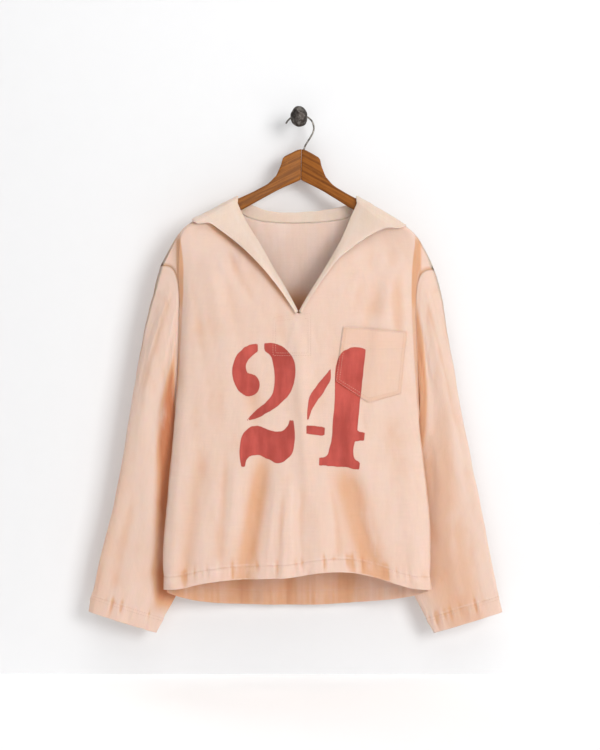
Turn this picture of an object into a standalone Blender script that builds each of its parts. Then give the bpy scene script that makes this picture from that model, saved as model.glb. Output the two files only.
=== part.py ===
"""Sailor jumper of pale cotton drill on a two-piece wooden hanger, hooked over an iron wall peg.

The tables are in millimetres. X runs to the viewer's right, Y goes back to the wall and Z goes up.
The origin is the middle of the peg's back face, which stands on the wall.
"""
import math

import bmesh
import bpy
import numpy as np
from mathutils import Matrix, Vector

MM = 0.001
CLOTH = 1.5
SEAM_GAP = 0.3
LAYER = 2.5
NECK_GAP = 0.6
ARM_SLOPE = 0.15

# Body, level by level: its two side folds, the front cloth, the back cloth and the side seams
BODY = (
    # level, left fold, right fold, front middle, front fold, back middle, side seam
    (-204, -203, 200, -84, -80, -34, -52),
    (-244, -197.5, 194, -90, -84, -30, -50),
    (-322, -198, 191.5, -96, -86, -25, -50),
    (-420, -204, 196, -98, -87, -23, -52),
    (-500, -209.5, 201.5, -98, -87, -22, -62),
    (-595, -217.5, 211, -98, -88, -21, -70),
    (-692, -225.5, 220.5, -99, -89, -20, -72),
    (-758, -229.5, 222, -99, -88, -20, -72),
    (-812, -228, 224, -98, -86, -20, -70),
)
FOLD_TURN = 7.0
FOLD_START = 0.93
SEAM_INSET = 3.0
BACK_FACE = 0.88

# Shoulder line of the cloth: over the hanger's arms, then down past their ends
SHOULDER = (
    # across, height
    (-236.4, -257.4), (-219.7, -226.2), (-203.3, -199.2), (-184, -184), (-148, -163.1), (-107, -140.3),
    (-50, -109.5), (4, -88), (50, -110.5), (100, -139.7), (151.5, -171), (186, -193.5),
    (201.6, -207.6), (216, -233.2), (230.4, -263.7),
)
SHOULDER_ROLL = 10.0
HANG = 120.0

# Bottom edges of the two body panels
FRONT_HEM = (
    # across, height
    (-228, -809.6), (-198.6, -807), (-168, -799.3), (-139, -794.5), (-59, -789.3), (-13.5, -787), (39, -779),
    (95, -779.7), (125, -786.7), (156, -796), (187.5, -805.5), (224, -810),
)
BACK_HEM = (
    # across, height
    (-228, -815), (-209, -823.3), (-185.6, -830.7), (-154, -836.6), (-107, -840.4), (-30, -842.6), (50, -841.6),
    (112, -836.4), (158, -830.9), (195, -823.6), (224, -814),
)

# Largest folds: a line down the cloth, its half width and how far it stands out (minus sinks in)
FRONT_FOLDS = (
    # top x, top z, bottom x, bottom z, half width, rise
    (0, -345, 3, -620, 13, 4.0),
    (-38, -560, -62, -815, 17, -6.0),
    (-22, -600, -24, -815, 12, 3.5),
    (66, -600, 130, -800, 24, -7.0),
    (25, -640, 36, -800, 18, 3.5),
    (-168, -215, -96, -430, 20, 3.5),
    (-140, -250, -70, -520, 18, -3.0),
    (170, -225, 120, -420, 18, 3.0),
    (142, -250, 100, -470, 16, -2.5),
    (-165, -560, -196, -800, 16, -3.5),
    (178, -560, 200, -800, 16, 3.0),
)
BACK_FOLDS = (
    # top x, top z, bottom x, bottom z, half width, rise
    (-120, -300, -96, -840, 20, 4.0),
    (-64, -360, -52, -845, 16, -4.0),
    (-14, -470, -16, -845, 10, 3.5),
    (30, -420, 34, -845, 18, -4.5),
    (92, -330, 84, -840, 20, 4.0),
    (140, -360, 150, -830, 18, -4.0),
)

# Neck and collar at each station: the seam, the fold at the top, the outer edge and its stand-off
NECK_LEFT = (
    # seam x, seam z, fold x, fold z, edge x, edge z, lift
    (-111.5, -154.5, -105, -151.5, -152, -185.5, 9),
    (-95.8, -186.8, -90, -183.6, -123, -205.5, 13),
    (-72, -223.8, -67.2, -220.8, -89, -234.5, 16),
    (-48.2, -263.6, -44.4, -261.3, -57, -268.3, 15),
    (-24.8, -300, -22, -298.3, -30, -302.5, 9),
    (-3.6, -338, -1.9, -336.4, -5.6, -339.8, 2),
)
NECK_RIGHT = (
    # seam x, seam z, fold x, fold z, edge x, edge z, lift
    (105.5, -154.7, 99, -151.8, 152, -193.5, 10),
    (94.2, -178, 88.6, -174.9, 128, -202, 9),
    (80.5, -209.6, 75.6, -206.8, 98, -221.5, 8),
    (61, -243.4, 57.2, -241.2, 66.5, -247.2, 5),
    (42.8, -271.6, 40.1, -269.9, 46.2, -273.8, 3),
    (22.4, -302.5, 20.3, -301.2, 25, -304.2, 2.5),
    (2.0, -338, 0.3, -336.4, 4, -339.8, 2),
)
NECK_BACK = (
    # seam x, seam z, fold x, fold z, edge x, edge z, lift
    (-111.5, -154.5, -104, -148.5, -182.5, -204, 2),
    (-99, -166, -92.5, -150, -182.5, -262, 3),
    (-84, -174, -79, -152, -182, -345, 4),
    (-66, -178.5, -63, -158.5, -181, -446, 4),
    (-46, -180.5, -46, -162, -122, -449, 5),
    (-22, -181.5, -22, -163.5, -60, -451, 5),
    (0, -181.5, 0, -163, 0, -452, 5),
    (24, -181, 24, -161.5, 60, -451, 5),
    (45, -179.5, 44, -158.8, 122, -449, 5),
    (65, -177.5, 62, -156.2, 181, -446, 4),
    (82, -173.5, 77, -153.2, 182, -345, 4),
    (94, -166, 88, -150.5, 182.5, -262, 3),
    (105.5, -154.7, 98, -149.5, 182.5, -212, 2),
)
# Collar where it crosses the shoulder: reach from the shoulder line, toward the back or the front
COLLAR_CROSSING = (
    # seam reach, edge reach, edge inset, lift
    (13, 13, 0, 1.0),
    (9, 9, 0, 0.6),
    (4.5, 4.5, 0, 0.4),
    (0, 0, 0, 0.4),
    (-4.5, -5, 0.5, 1.2),
    (-9, -11, 4, 3),
    (-13, -18, 14, 6),
)
COLLAR_TIP = 182.5
NECK_CORNERS = {-1: (-111.5, -105.0), 1: (105.5, 98.8)}

# Sleeves, ring by ring: outer and inner edge, half depth and how far the armhole bows inward
SLEEVE_LEFT = (
    # outer x, outer y, outer z, inner x, inner y, inner z, half depth, bow
    (-236.4, -66, -257.4, -207.6, -60, -504, 9, 36),
    (-246, -66, -294, -212.5, -58, -519, 12.5, 29),
    (-256.2, -65, -332.8, -214.5, -54, -539, 15.5, 20),
    (-272.3, -63, -411.5, -212.5, -49, -566, 18, 8),
    (-286.2, -61, -490.3, -205, -42, -602, 19, 0),
    (-301.8, -59, -584.6, -192, -35, -650, 18, 0),
    (-320, -57, -675.6, -184, -31, -712, 16, 0),
    (-341.8, -54, -761.8, -200, -33, -796, 13, 0),
    (-360.3, -50, -850.6, -248, -40, -887.5, 11, 0),
)
SLEEVE_RIGHT = (
    # outer x, outer y, outer z, inner x, inner y, inner z, half depth, bow
    (230.4, -66, -263.7, 202.5, -60, -504, 9, 35),
    (241.2, -66, -296.9, 208, -58, -519, 12.5, 28),
    (248, -65, -333, 209.5, -54, -539, 15.5, 19),
    (260.5, -63, -411, 206.5, -49, -566, 18, 8),
    (275, -61, -491, 198, -42, -602, 19, 0),
    (293.3, -59, -585, 185, -35, -650, 18, 0),
    (312.8, -57, -676, 177, -31, -712, 16, 0),
    (329.8, -54, -762, 188, -33, -796, 13, 0),
    (347.4, -50, -851.6, 234, -40, -888.1, 11, 0),
)
SLEEVE_FOLDS = (
    # start station, end station, turn at start, turn at end, half width in turns, rise
    (0.6, 5.5, 0.10, 0.17, 0.045, 3.0),
    (0.8, 6.5, 0.20, 0.29, 0.040, -3.5),
    (2.0, 8.0, 0.27, 0.22, 0.040, 2.5),
    (1.0, 7.0, 0.70, 0.76, 0.050, 3.0),
    (3.0, 8.0, 0.84, 0.80, 0.045, -3.0),
)

# Pocket on the wearer's left breast
POCKET_TOP_LEFT = (74.5, -362.4)
POCKET_TOP_RIGHT = (184, -371)
POCKET_LOW_LEFT = (61.5, -454.2)
POCKET_LOW_RIGHT = (173.5, -476)
POCKET_POINT = 26.0
POCKET_LIFT = 2.1

# Grid of the cloth
SHOULDER_COLUMNS = 5
V_COLUMNS = 8
NECK_COLUMNS = 12
ROLL_REACH = (0.2, 4.5, 9.0, 13.0)
PANEL_ROWS = 18
ARMPIT_ROW = 13
STRIP_COLUMNS = 3
SLEEVE_RINGS = 19
TUBE_ROUND = 0.8
FALL_ROWS = 8

# Hanger: half its outline from the top of the middle, then how it hangs
HANGER_TOP = (4.6, -53.6)
HANGER_HEAD = ((0, 0), (14, -5.5), (29.5, -14.5), (32.3, -18), (34.8, -29), (42, -46.5))
ARM_TOP = ((53, -59.5), (71, -71.5), (109, -91.8), (150, -116.2), (182, -137.2))
ARM_BOTTOM = ((0, -53.3), (37.5, -72), (67, -89.5), (96, -107), (150, -137), (179, -152.5))
ARM_END = 188.0
HANGER_THICK = 11.0
HANGER_EDGE = 4.0
HANGER_TILT = math.radians(1.5)
HANGER_SWEEP = math.tan(math.radians(10.5))
HANGER_Y = -35.0

# Hook and peg
HOOK_WIRE = 1.5
HOOK_PATH = (
    # across, height
    (-22, -8.5), (-19.2, -4.2), (-15.6, -0.6), (-8.6, 5.0), (0, 7.0), (8.6, 5.4), (15.7, 1.0), (22.1, -5),
    (25, -12.4), (25.6, -19), (24, -25.1), (19.8, -33), (14.5, -41.5), (10.2, -48.8), (8.7, -54), (8.0, -57.5), (7.3, -61),
)
HOOK_BORE = 1.9
SHANK_RADIUS = 5.1
SHANK_LENGTH = 45.0
PEG_WIDE = 15.2
PEG_TALL = 18.3
PEG_DEEP = 21.0
PEG_SIDES = 10


def rows(table):
    """A table as an array of floats."""
    return np.array(table, dtype=float)


def smooth_curve(knots, values, at):
    """Values read off a smooth curve through the knots, at any places along it."""
    knots = np.asarray(knots, dtype=float)
    values = np.asarray(values, dtype=float)
    at = np.clip(np.asarray(at, dtype=float), knots[0], knots[-1])
    slopes = np.gradient(values, knots, axis=0)
    cell = np.clip(np.searchsorted(knots, at, side="right") - 1, 0, len(knots) - 2)
    span = knots[cell + 1] - knots[cell]
    t = (at - knots[cell]) / span
    if values.ndim > 1:
        span = span[..., None]
        t = t[..., None]
    low = values[cell]
    high = values[cell + 1]
    return (low * (2 * t**3 - 3 * t**2 + 1) + slopes[cell] * span * (t**3 - 2 * t**2 + t)
            + high * (3 * t**2 - 2 * t**3) + slopes[cell + 1] * span * (t**3 - t**2))


def ease(value):
    """Rises smoothly from 0 to 1."""
    t = np.clip(value, 0.0, 1.0)
    return t * t * (3.0 - 2.0 * t)


def mix(a, b, share):
    return a + (b - a) * share


def body_at(level):
    """Left fold, right fold, front middle, front fold, back middle and side seam at a level."""
    table = rows(BODY)[::-1]
    found = smooth_curve(table[:, 0], table[:, 1:], level)
    return [found[..., i] for i in range(6)]


def side_share(x, level):
    """How far x lies from the middle to a side fold: -1 at the left fold and 1 at the right one."""
    left, right = body_at(level)[:2]
    return 2.0 * (x - left) / (right - left) - 1.0


def across(share, level):
    left, right = body_at(level)[:2]
    return mix(left, right, (share + 1.0) / 2.0)


def fold_rise(folds, x, z):
    """How far the folds of a table stand out at a place on the cloth."""
    total = np.zeros(np.broadcast(x, z).shape)
    for top_x, top_z, low_x, low_z, width, rise in folds:
        along = (top_z - z) / (top_z - low_z)
        middle = mix(top_x, low_x, along)
        fade = ease((along + 0.08) / 0.35) * ease((1.15 - along) / 0.3)
        total = total + rise * fade * np.exp(-((x - middle) / width) ** 2)
    return total


def front_y(x, z):
    left, right, middle, fold, _, _ = body_at(z)
    share = np.abs(2.0 * (x - left) / (right - left) - 1.0)
    turn = FOLD_TURN * np.clip((share - FOLD_START) / (1.0 - FOLD_START), 0.0, 1.3) ** 2
    calm = ease((1.0 - share) / 0.12)
    return mix(middle, fold, share**2.4) + turn - fold_rise(FRONT_FOLDS, x, z) * calm


def back_y(x, z):
    left, right, _, _, middle, side = body_at(z)
    share = np.abs(2.0 * (x - left) / (right - left) - 1.0)
    calm = ease((1.0 - share) / 0.2)
    return mix(middle, side, np.minimum(share, 1.1) ** 2.6) + fold_rise(BACK_FOLDS, x, z) * calm


def arm_y(x):
    return HANGER_Y - HANGER_SWEEP * np.minimum(np.abs(x - HANGER_TOP[0]), ARM_END)


def shoulder_z(x):
    table = rows(SHOULDER)
    return smooth_curve(table[:, 0], table[:, 1], x)


def reach_to(x, z):
    """Length of cloth from the shoulder line straight down to a height."""
    return shoulder_z(x) - z + SHOULDER_ROLL * (math.pi / 2 - 1)


def over_shoulder(x, reach, out=0.0):
    """Point on the body reached from the shoulder line: forward is minus, back is plus."""
    x, reach, out = np.broadcast_arrays(np.asarray(x, float), np.asarray(reach, float), np.asarray(out, float))
    side = np.where(reach < 0, -1.0, 1.0)
    length = np.abs(reach)
    quarter = SHOULDER_ROLL * math.pi / 2
    angle = np.minimum(length, quarter) / SHOULDER_ROLL
    below = np.maximum(length - quarter, 0.0)
    out = out * (1.0 + ARM_SLOPE * np.cos(angle))
    y = arm_y(x) + side * (SHOULDER_ROLL + out) * np.sin(angle)
    z = shoulder_z(x) - SHOULDER_ROLL + (SHOULDER_ROLL + out) * np.cos(angle) - below
    face = np.where(side < 0, front_y(x, z), back_y(x, z)) + side * out
    return np.stack([x, mix(y, face, ease(below / HANG)), z], axis=-1)


def ring_point(table, station, turn, extra=0.0):
    """Point on a sleeve: turn 0 is the outer edge, 0.25 the front, 0.5 the inner edge, 0.75 the rear."""
    data = rows(table)
    found = smooth_curve(np.arange(len(data)), data, station)
    outer = found[..., 0:3]
    inner = found[..., 3:6]
    depth = found[..., 6:7]
    bow = found[..., 7:8]
    half = (outer - inner) / 2
    flat = np.hypot(half[..., 0], half[..., 1])[..., None]
    lean = np.sign(data[0, 0])
    front = np.concatenate([half[..., 1:2], -half[..., 0:1], 0 * flat], axis=-1) * lean / flat
    angle = (np.asarray(turn) * 2 * math.pi)[..., None]
    inward = np.array([-lean, 0.0, 0.0])
    rise = np.asarray(extra)[..., None] if np.ndim(extra) else extra
    size = 1.0 + rise / (depth + 25.0)
    swell = np.sign(np.sin(angle)) * np.abs(np.sin(angle)) ** TUBE_ROUND
    point = (outer + inner) / 2 + half * np.cos(angle) * size + front * (depth + rise) * swell
    low = (1.0 - np.cos(angle)) / 2
    return point + inward * bow * np.sqrt(np.abs(np.sin(angle))) * (1.0 - low) ** 1.2


def sleeve_rise(station, turn):
    total = np.zeros(np.broadcast(station, turn).shape)
    for start, end, turn_start, turn_end, width, rise in SLEEVE_FOLDS:
        along = (station - start) / (end - start)
        middle = mix(turn_start, turn_end, along)
        fade = ease((along + 0.05) / 0.3) * ease((1.1 - along) / 0.3)
        total = total + rise * fade * np.exp(-((turn - middle) / width) ** 2)
    return total


def grid_normals(points, closed=False):
    """Unit normal at each point of a grid of rows and columns."""
    down = np.gradient(points, axis=0)
    if closed:
        along = np.roll(points, -1, axis=1) - np.roll(points, 1, axis=1)
    else:
        along = np.gradient(points, axis=1)
    normal = np.cross(down, along)
    return normal / np.maximum(np.linalg.norm(normal, axis=-1, keepdims=True), 1e-9)


def material(name, colour, roughness, metallic=0.0):
    """Principled material with a colour, roughness and metallic value."""
    made = bpy.data.materials.new(name)
    made.use_nodes = True
    shader = made.node_tree.nodes["Principled BSDF"]
    shader.inputs["Base Color"].default_value = (*colour, 1.0)
    shader.inputs["Roughness"].default_value = roughness
    shader.inputs["Metallic"].default_value = metallic
    made.diffuse_color = (*colour, 1.0)
    return made


def new_object(name, vertices, faces, look, group):
    mesh = bpy.data.meshes.new(name)
    mesh.from_pydata([tuple(v) for v in vertices], [], faces)
    mesh.validate()
    mesh.materials.append(look)
    made = bpy.data.objects.new(name, mesh)
    group.objects.link(made)
    return made


def turn_outward(made):
    """Point every face of a closed mesh outward."""
    bm = bmesh.new()
    bm.from_mesh(made.data)
    bmesh.ops.recalc_face_normals(bm, faces=bm.faces)
    bm.to_mesh(made.data)
    bm.free()
    made.data.shade_smooth()
    made.data.set_sharp_from_angle(angle=math.radians(50))


def cloth_wall(name, points, normals, look, group, closed=False, skip=None):
    """Closed wall of cloth around a grid of points: two skins and a rim along every free edge."""
    count_rows, count_columns = points.shape[:2]
    outer = (points + normals * CLOTH / 2).reshape(-1, 3)
    inner = (points - normals * CLOTH / 2).reshape(-1, 3)
    total = len(outer)
    faces = []
    borders = {}
    last = count_columns if closed else count_columns - 1
    for r in range(count_rows - 1):
        for c in range(last):
            if skip is not None and skip(r, c):
                continue
            n = (c + 1) % count_columns
            quad = (r * count_columns + c, r * count_columns + n,
                    (r + 1) * count_columns + n, (r + 1) * count_columns + c)
            for corners in ((0, 1, 2), (0, 2, 3)):
                faces.append(tuple(quad[k] for k in corners))
                faces.append(tuple(total + quad[k] for k in reversed(corners)))
            for a, b in zip(quad, quad[1:] + quad[:1]):
                key = (min(a, b), max(a, b))
                borders[key] = None if key in borders else (a, b)
    for edge in borders.values():
        if edge:
            a, b = edge
            faces.append((b, a, total + a, total + b))
    used = sorted({v for face in faces for v in face})
    index = {v: i for i, v in enumerate(used)}
    both = np.concatenate([outer, inner]) * MM
    made = new_object(name, both[used], [tuple(index[v] for v in face) for face in faces], look, group)
    turn_outward(made)
    return made


def neck_stations(table, count):
    """Neck and collar places at even steps along a table, as rows of the same columns."""
    data = rows(table)
    return smooth_curve(np.linspace(0, 1, len(data)), data, np.linspace(0, 1, count + 1))


def top_edge(side):
    """Top of a panel's main columns, left to right, as across and height."""
    reach = -17.0 if side == "front" else 17.0
    if side == "front":
        left = neck_stations(NECK_LEFT, V_COLUMNS)[:, :2]
        right = neck_stations(NECK_RIGHT, V_COLUMNS)[::-1, :2]
        middle = [[(left[-1, 0] + right[0, 0]) / 2, left[-1, 1] - 1.6]]
        neck = np.concatenate([left, middle, right])
        edge_share = 1.0
    else:
        neck = neck_stations(NECK_BACK, NECK_COLUMNS)[:, :2]
        edge_share = BACK_FACE
    tops = []
    for end, corner in ((-1, neck[0, 0]), (1, neck[-1, 0])):
        start = float(across(edge_share * end, -205.0))
        xs = mix(start, corner, np.arange(SHOULDER_COLUMNS) / SHOULDER_COLUMNS)
        zs = over_shoulder(xs, reach)[:, 2]
        tops.append(np.stack([xs, zs], axis=1))
    return np.concatenate([tops[0], neck, tops[1][::-1]]), edge_share


def panel(side):
    """Grid of a body panel: rows down from the shoulder, columns from the left seam to the right one."""
    forward = side == "front"
    sign = -1.0 if forward else 1.0
    top, edge_share = top_edge(side)
    hem = rows(FRONT_HEM if forward else BACK_HEM)
    count = len(top)
    shares = np.linspace(-edge_share, edge_share, count)
    hem_x = across(shares, -808.0)
    hem_z = smooth_curve(hem[:, 0], hem[:, 1], hem_x)
    top_share = side_share(top[:, 0], top[:, 1])
    top_share[0] = -edge_share
    top_share[-1] = edge_share
    main = []
    for f in np.linspace(0, 1, PANEL_ROWS + 1):
        z = mix(top[:, 1], hem_z, f)
        share = mix(top_share, shares, 1 - (1 - f) ** 2)
        x = across(share, z)
        main.append(over_shoulder(x, sign * reach_to(x, z)))
    crown = [over_shoulder(main[0][:, 0], sign * reach) for reach in ROLL_REACH]
    main = np.array(crown + main)
    strips = [side_strip(main, side, end) for end in ("left", "right")]
    return np.concatenate([strips[0], main, strips[1][:, ::-1]], axis=1)


def side_strip(main, side, end):
    """Cloth between a panel's side fold and its armhole or side seam, from the seam inward."""
    forward = side == "front"
    sleeve = SLEEVE_LEFT if end == "left" else SLEEVE_RIGHT
    fold = main[:, 0] if end == "left" else main[:, -1]
    lean = -1.0 if end == "left" else 1.0
    count = len(fold)
    seam = np.zeros((count, 3))
    turns = np.arange(ARMPIT_ROW + 1) / ARMPIT_ROW * 0.5
    seam[:ARMPIT_ROW + 1] = ring_point(sleeve, np.zeros(ARMPIT_ROW + 1), turns if forward else 1.0 - turns)
    hem = rows(FRONT_HEM if forward else BACK_HEM)
    hem_z = hem[0, 1] if end == "left" else hem[-1, 1]
    armpit = seam[ARMPIT_ROW]
    drop = np.arange(1, count - ARMPIT_ROW) / (count - 1 - ARMPIT_ROW)
    z = mix(armpit[2], hem_z, drop)
    x = across(lean, z) - lean * SEAM_INSET
    y = mix(armpit[1], body_at(z)[5], ease(drop * 3.0))
    seam[ARMPIT_ROW + 1:] = np.stack([x, y, z], axis=-1)
    strip = []
    chord_share = np.arange(STRIP_COLUMNS) / STRIP_COLUMNS
    shoulder_x = mix(seam[0, 0], fold[0, 0], chord_share)
    shoulder = over_shoulder(shoulder_x, 0.0)
    shoulder[:, 1] = mix(seam[0, 1], fold[0, 1], chord_share)
    for r in range(count):
        line = mix(seam[r], fold[r], chord_share[:, None])
        calm = ease(1.0 - r / (ARMPIT_ROW - 2.0))
        line = line + (shoulder - mix(seam[0], fold[0], chord_share[:, None])) * calm
        belly = 4.0 * chord_share * (1.0 - chord_share)
        line[:, 0] += lean * 2.5 * belly * ease(r / 6.0)
        strip.append(line)
    return np.array(strip)


def sleeve_rings(table):
    """Grid of a sleeve: a ring at each step down it, first the armhole."""
    turns = np.arange(2 * ARMPIT_ROW) / (2 * ARMPIT_ROW)
    stations = np.linspace(0, 8, SLEEVE_RINGS)
    grid = []
    for station in stations:
        rise = sleeve_rise(station, turns)
        grid.append(ring_point(table, np.full(len(turns), station), turns, rise))
    return np.array(grid)


def unit(vectors):
    return vectors / np.maximum(np.linalg.norm(vectors, axis=-1, keepdims=True), 1e-9)


def seat_sleeve(rings, seam, inside, normal):
    """Move a sleeve's first ring off the armhole edge, clear of the body's cloth."""
    along = unit(np.roll(seam, -1, axis=0) - np.roll(seam, 1, axis=0))
    body_way = unit(np.cross(normal, along))
    body_way = body_way * np.sign(np.sum(body_way * (seam - inside), axis=-1, keepdims=True))
    sleeve_way = rings[1] - rings[0]
    sleeve_way = unit(sleeve_way - along * np.sum(sleeve_way * along, axis=-1, keepdims=True))
    turn = np.sum(body_way * sleeve_way, axis=-1, keepdims=True)
    lift = np.where(turn > 0, (CLOTH / 2 + SEAM_GAP) * np.sqrt(np.maximum(1 - turn**2, 0)),
                    CLOTH / 2 + SEAM_GAP - turn * (CLOTH / 2 + 0.25))
    ahead = (SEAM_GAP + 0.1) * np.maximum(turn, 0)
    rings[0] = seam + normal * lift + body_way * ahead
    rings[1] = rings[1] + normal * lift * 0.8
    rings[2] = rings[2] + normal * lift * 0.4


def collar_rows(stations):
    """Grid of the collar: columns along the neck, rows from the seam over the fold to the outer edge."""
    grid = []
    for seam, fold, edge, lift in stations:
        seam = np.array(seam)
        fold = np.array(fold)
        edge = np.array(edge)
        inward = (fold - seam) / max(np.linalg.norm(fold - seam), 1e-6)
        back = min(1.0, 0.3 * np.linalg.norm(fold - seam))
        column = [(*(seam + inward * NECK_GAP), 0.0), (*(fold - inward * back), 0.1), (*fold, LAYER / 2),
                  (*(fold - inward * back), LAYER)]
        for step in range(1, FALL_ROWS + 1):
            t = (step / FALL_ROWS) ** 1.2
            place = mix(fold - inward * back, edge, t)
            column.append((*place, LAYER + lift * (1 - (1 - t) ** 2)))
        grid.append(column)
    grid = np.array(grid).transpose(1, 0, 2)
    return over_shoulder(grid[..., 0], grid[..., 1], grid[..., 2])


def collar_stations():
    """Seam, fold and edge along the whole neck, from the left of the V round the back to its right."""
    found = []

    def from_heights(row, sign):
        places = [(row[i], sign * float(reach_to(row[i], row[i + 1]))) for i in (0, 2, 4)]
        found.append((*places, row[6]))

    def crossing(lean):
        for seam_reach, edge_reach, inset, lift in COLLAR_CROSSING[::lean]:
            seam_x, fold_x = NECK_CORNERS[lean]
            edge_x = lean * (COLLAR_TIP - inset)
            found.append(((seam_x, seam_reach), (fold_x, seam_reach), (edge_x, edge_reach), lift))

    for row in neck_stations(NECK_LEFT, V_COLUMNS)[::-1]:
        from_heights(row, -1)
    crossing(-1)
    for row in neck_stations(NECK_BACK, NECK_COLUMNS):
        from_heights(row, 1)
    crossing(1)
    for row in neck_stations(NECK_RIGHT, V_COLUMNS):
        from_heights(row, -1)
    return found


def pocket_grid():
    """Grid of the patch pocket, laid on the front and moved out."""
    s, t = np.meshgrid(np.linspace(0, 1, 10), np.linspace(0, 1, 9))
    top_left, top_right = rows(POCKET_TOP_LEFT), rows(POCKET_TOP_RIGHT)
    low_left, low_right = rows(POCKET_LOW_LEFT), rows(POCKET_LOW_RIGHT)
    top = mix(top_left, top_right, s[..., None])
    low = mix(low_left, low_right, s[..., None])
    low[..., 1] -= POCKET_POINT * (1 - np.abs(2 * s - 1))
    place = mix(top, low, t[..., None])
    mouth = 1.2 * np.sin(math.pi * s) * (1 - t) ** 2
    x, z = place[..., 0], place[..., 1]
    return over_shoulder(x, -reach_to(x, z), POCKET_LIFT + mouth)


def hanger_half(lean, look, group):
    """One arm of the hanger with its half of the middle, swept forward and tilted with the hook."""
    outline = [Vector(p) for p in HANGER_HEAD]
    top = rows(ARM_TOP)
    for offset in np.linspace(ARM_TOP[0][0], ARM_TOP[-1][0], 8):
        outline.append(Vector((offset, float(smooth_curve(top[:, 0], top[:, 1], offset)))))
    high, low = Vector(ARM_TOP[-1]), Vector(ARM_BOTTOM[-1])
    middle = (high + low) / 2
    radius = (high - low).length / 2
    axis = (middle - low).normalized()
    for step in range(1, 5):
        angle = math.pi * step / 5
        spot = middle + axis * radius * math.cos(angle)
        spot.x += (ARM_END - middle.x) * math.sin(angle)
        spot.y -= 3.0 * math.sin(angle)
        outline.append(spot)
    bottom = rows(ARM_BOTTOM)
    for offset in np.linspace(ARM_BOTTOM[-1][0], 0, 8):
        outline.append(Vector((offset, float(smooth_curve(bottom[:, 0], bottom[:, 1], offset)))))
    bm = bmesh.new()
    corners = [bm.verts.new((p.x, -HANGER_THICK / 2, p.y)) for p in outline]
    face = bm.faces.new(corners)
    grown = bmesh.ops.extrude_face_region(bm, geom=[face])
    moved = [v for v in grown["geom"] if isinstance(v, bmesh.types.BMVert)]
    bmesh.ops.translate(bm, verts=moved, vec=(0, HANGER_THICK, 0))
    bmesh.ops.recalc_face_normals(bm, faces=bm.faces)
    long_edges = [e for e in bm.edges
                  if abs(e.verts[0].co.y - e.verts[1].co.y) < 0.01 and max(v.co.x for v in e.verts) > 0.01]
    bmesh.ops.bevel(bm, geom=long_edges, offset=HANGER_EDGE, segments=2, profile=0.5, affect="EDGES")
    tilt = Matrix.Rotation(HANGER_TILT, 3, "Y")
    for v in bm.verts:
        v.co.x = lean * max(v.co.x, 0.0) + lean * SEAM_GAP / 2
        v.co.y += HANGER_Y - HANGER_SWEEP * abs(v.co.x)
        flat = tilt @ Vector((v.co.x, 0, v.co.z))
        v.co.x = (flat.x + HANGER_TOP[0]) * MM
        v.co.z = (flat.z + HANGER_TOP[1]) * MM
        v.co.y *= MM
    mesh = bpy.data.meshes.new("hanger_left" if lean < 0 else "hanger_right")
    if lean < 0:
        bmesh.ops.reverse_faces(bm, faces=bm.faces)
    bm.to_mesh(mesh)
    bm.free()
    mesh.materials.append(look)
    mesh.shade_smooth()
    mesh.set_sharp_from_angle(angle=math.radians(40))
    made = bpy.data.objects.new(mesh.name, mesh)
    group.objects.link(made)
    return made


def hook_wire(name, radius, path, group):
    """Round wire bent along a path in the plane of the hook."""
    data = rows(path)
    lengths = np.concatenate([[0], np.cumsum(np.hypot(*np.diff(data, axis=0).T))])
    places = smooth_curve(lengths, data, np.linspace(0, lengths[-1], 30 if len(path) > 2 else 2))
    curve = bpy.data.curves.new(name, "CURVE")
    curve.dimensions = "3D"
    curve.bevel_depth = radius * MM
    curve.bevel_resolution = 2
    curve.use_fill_caps = True
    spline = curve.splines.new("POLY")
    spline.points.add(len(places) - 1)
    for point, (x, z) in zip(spline.points, places):
        point.co = (x * MM, HANGER_Y * MM, z * MM, 1.0)
    made = bpy.data.objects.new(name, curve)
    group.objects.link(made)
    return made


def bore_for_hook(hanger, group):
    """Cut the hole that the wire's lower end stands in."""
    start, end = Vector(HOOK_PATH[-3]), Vector(HOOK_PATH[-1])
    way = (end - start).normalized()
    length = (end - start).length + 4.0
    middle = (start + end) / 2
    bpy.ops.mesh.primitive_cylinder_add(vertices=12, radius=HOOK_BORE * MM, depth=length * MM)
    cutter = bpy.context.object
    cutter.name = "hook_bore"
    cutter.location = (middle.x * MM, HANGER_Y * MM, middle.y * MM)
    cutter.rotation_euler = (0, math.atan2(way.x, way.y), 0)
    cutter.hide_render = True
    cutter.display_type = "WIRE"
    for owner in list(cutter.users_collection):
        owner.objects.unlink(cutter)
    group.objects.link(cutter)
    cut = hanger.modifiers.new("hook bore", "BOOLEAN")
    cut.operation = "DIFFERENCE"
    cut.solver = "EXACT"
    cut.object = cutter


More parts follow.
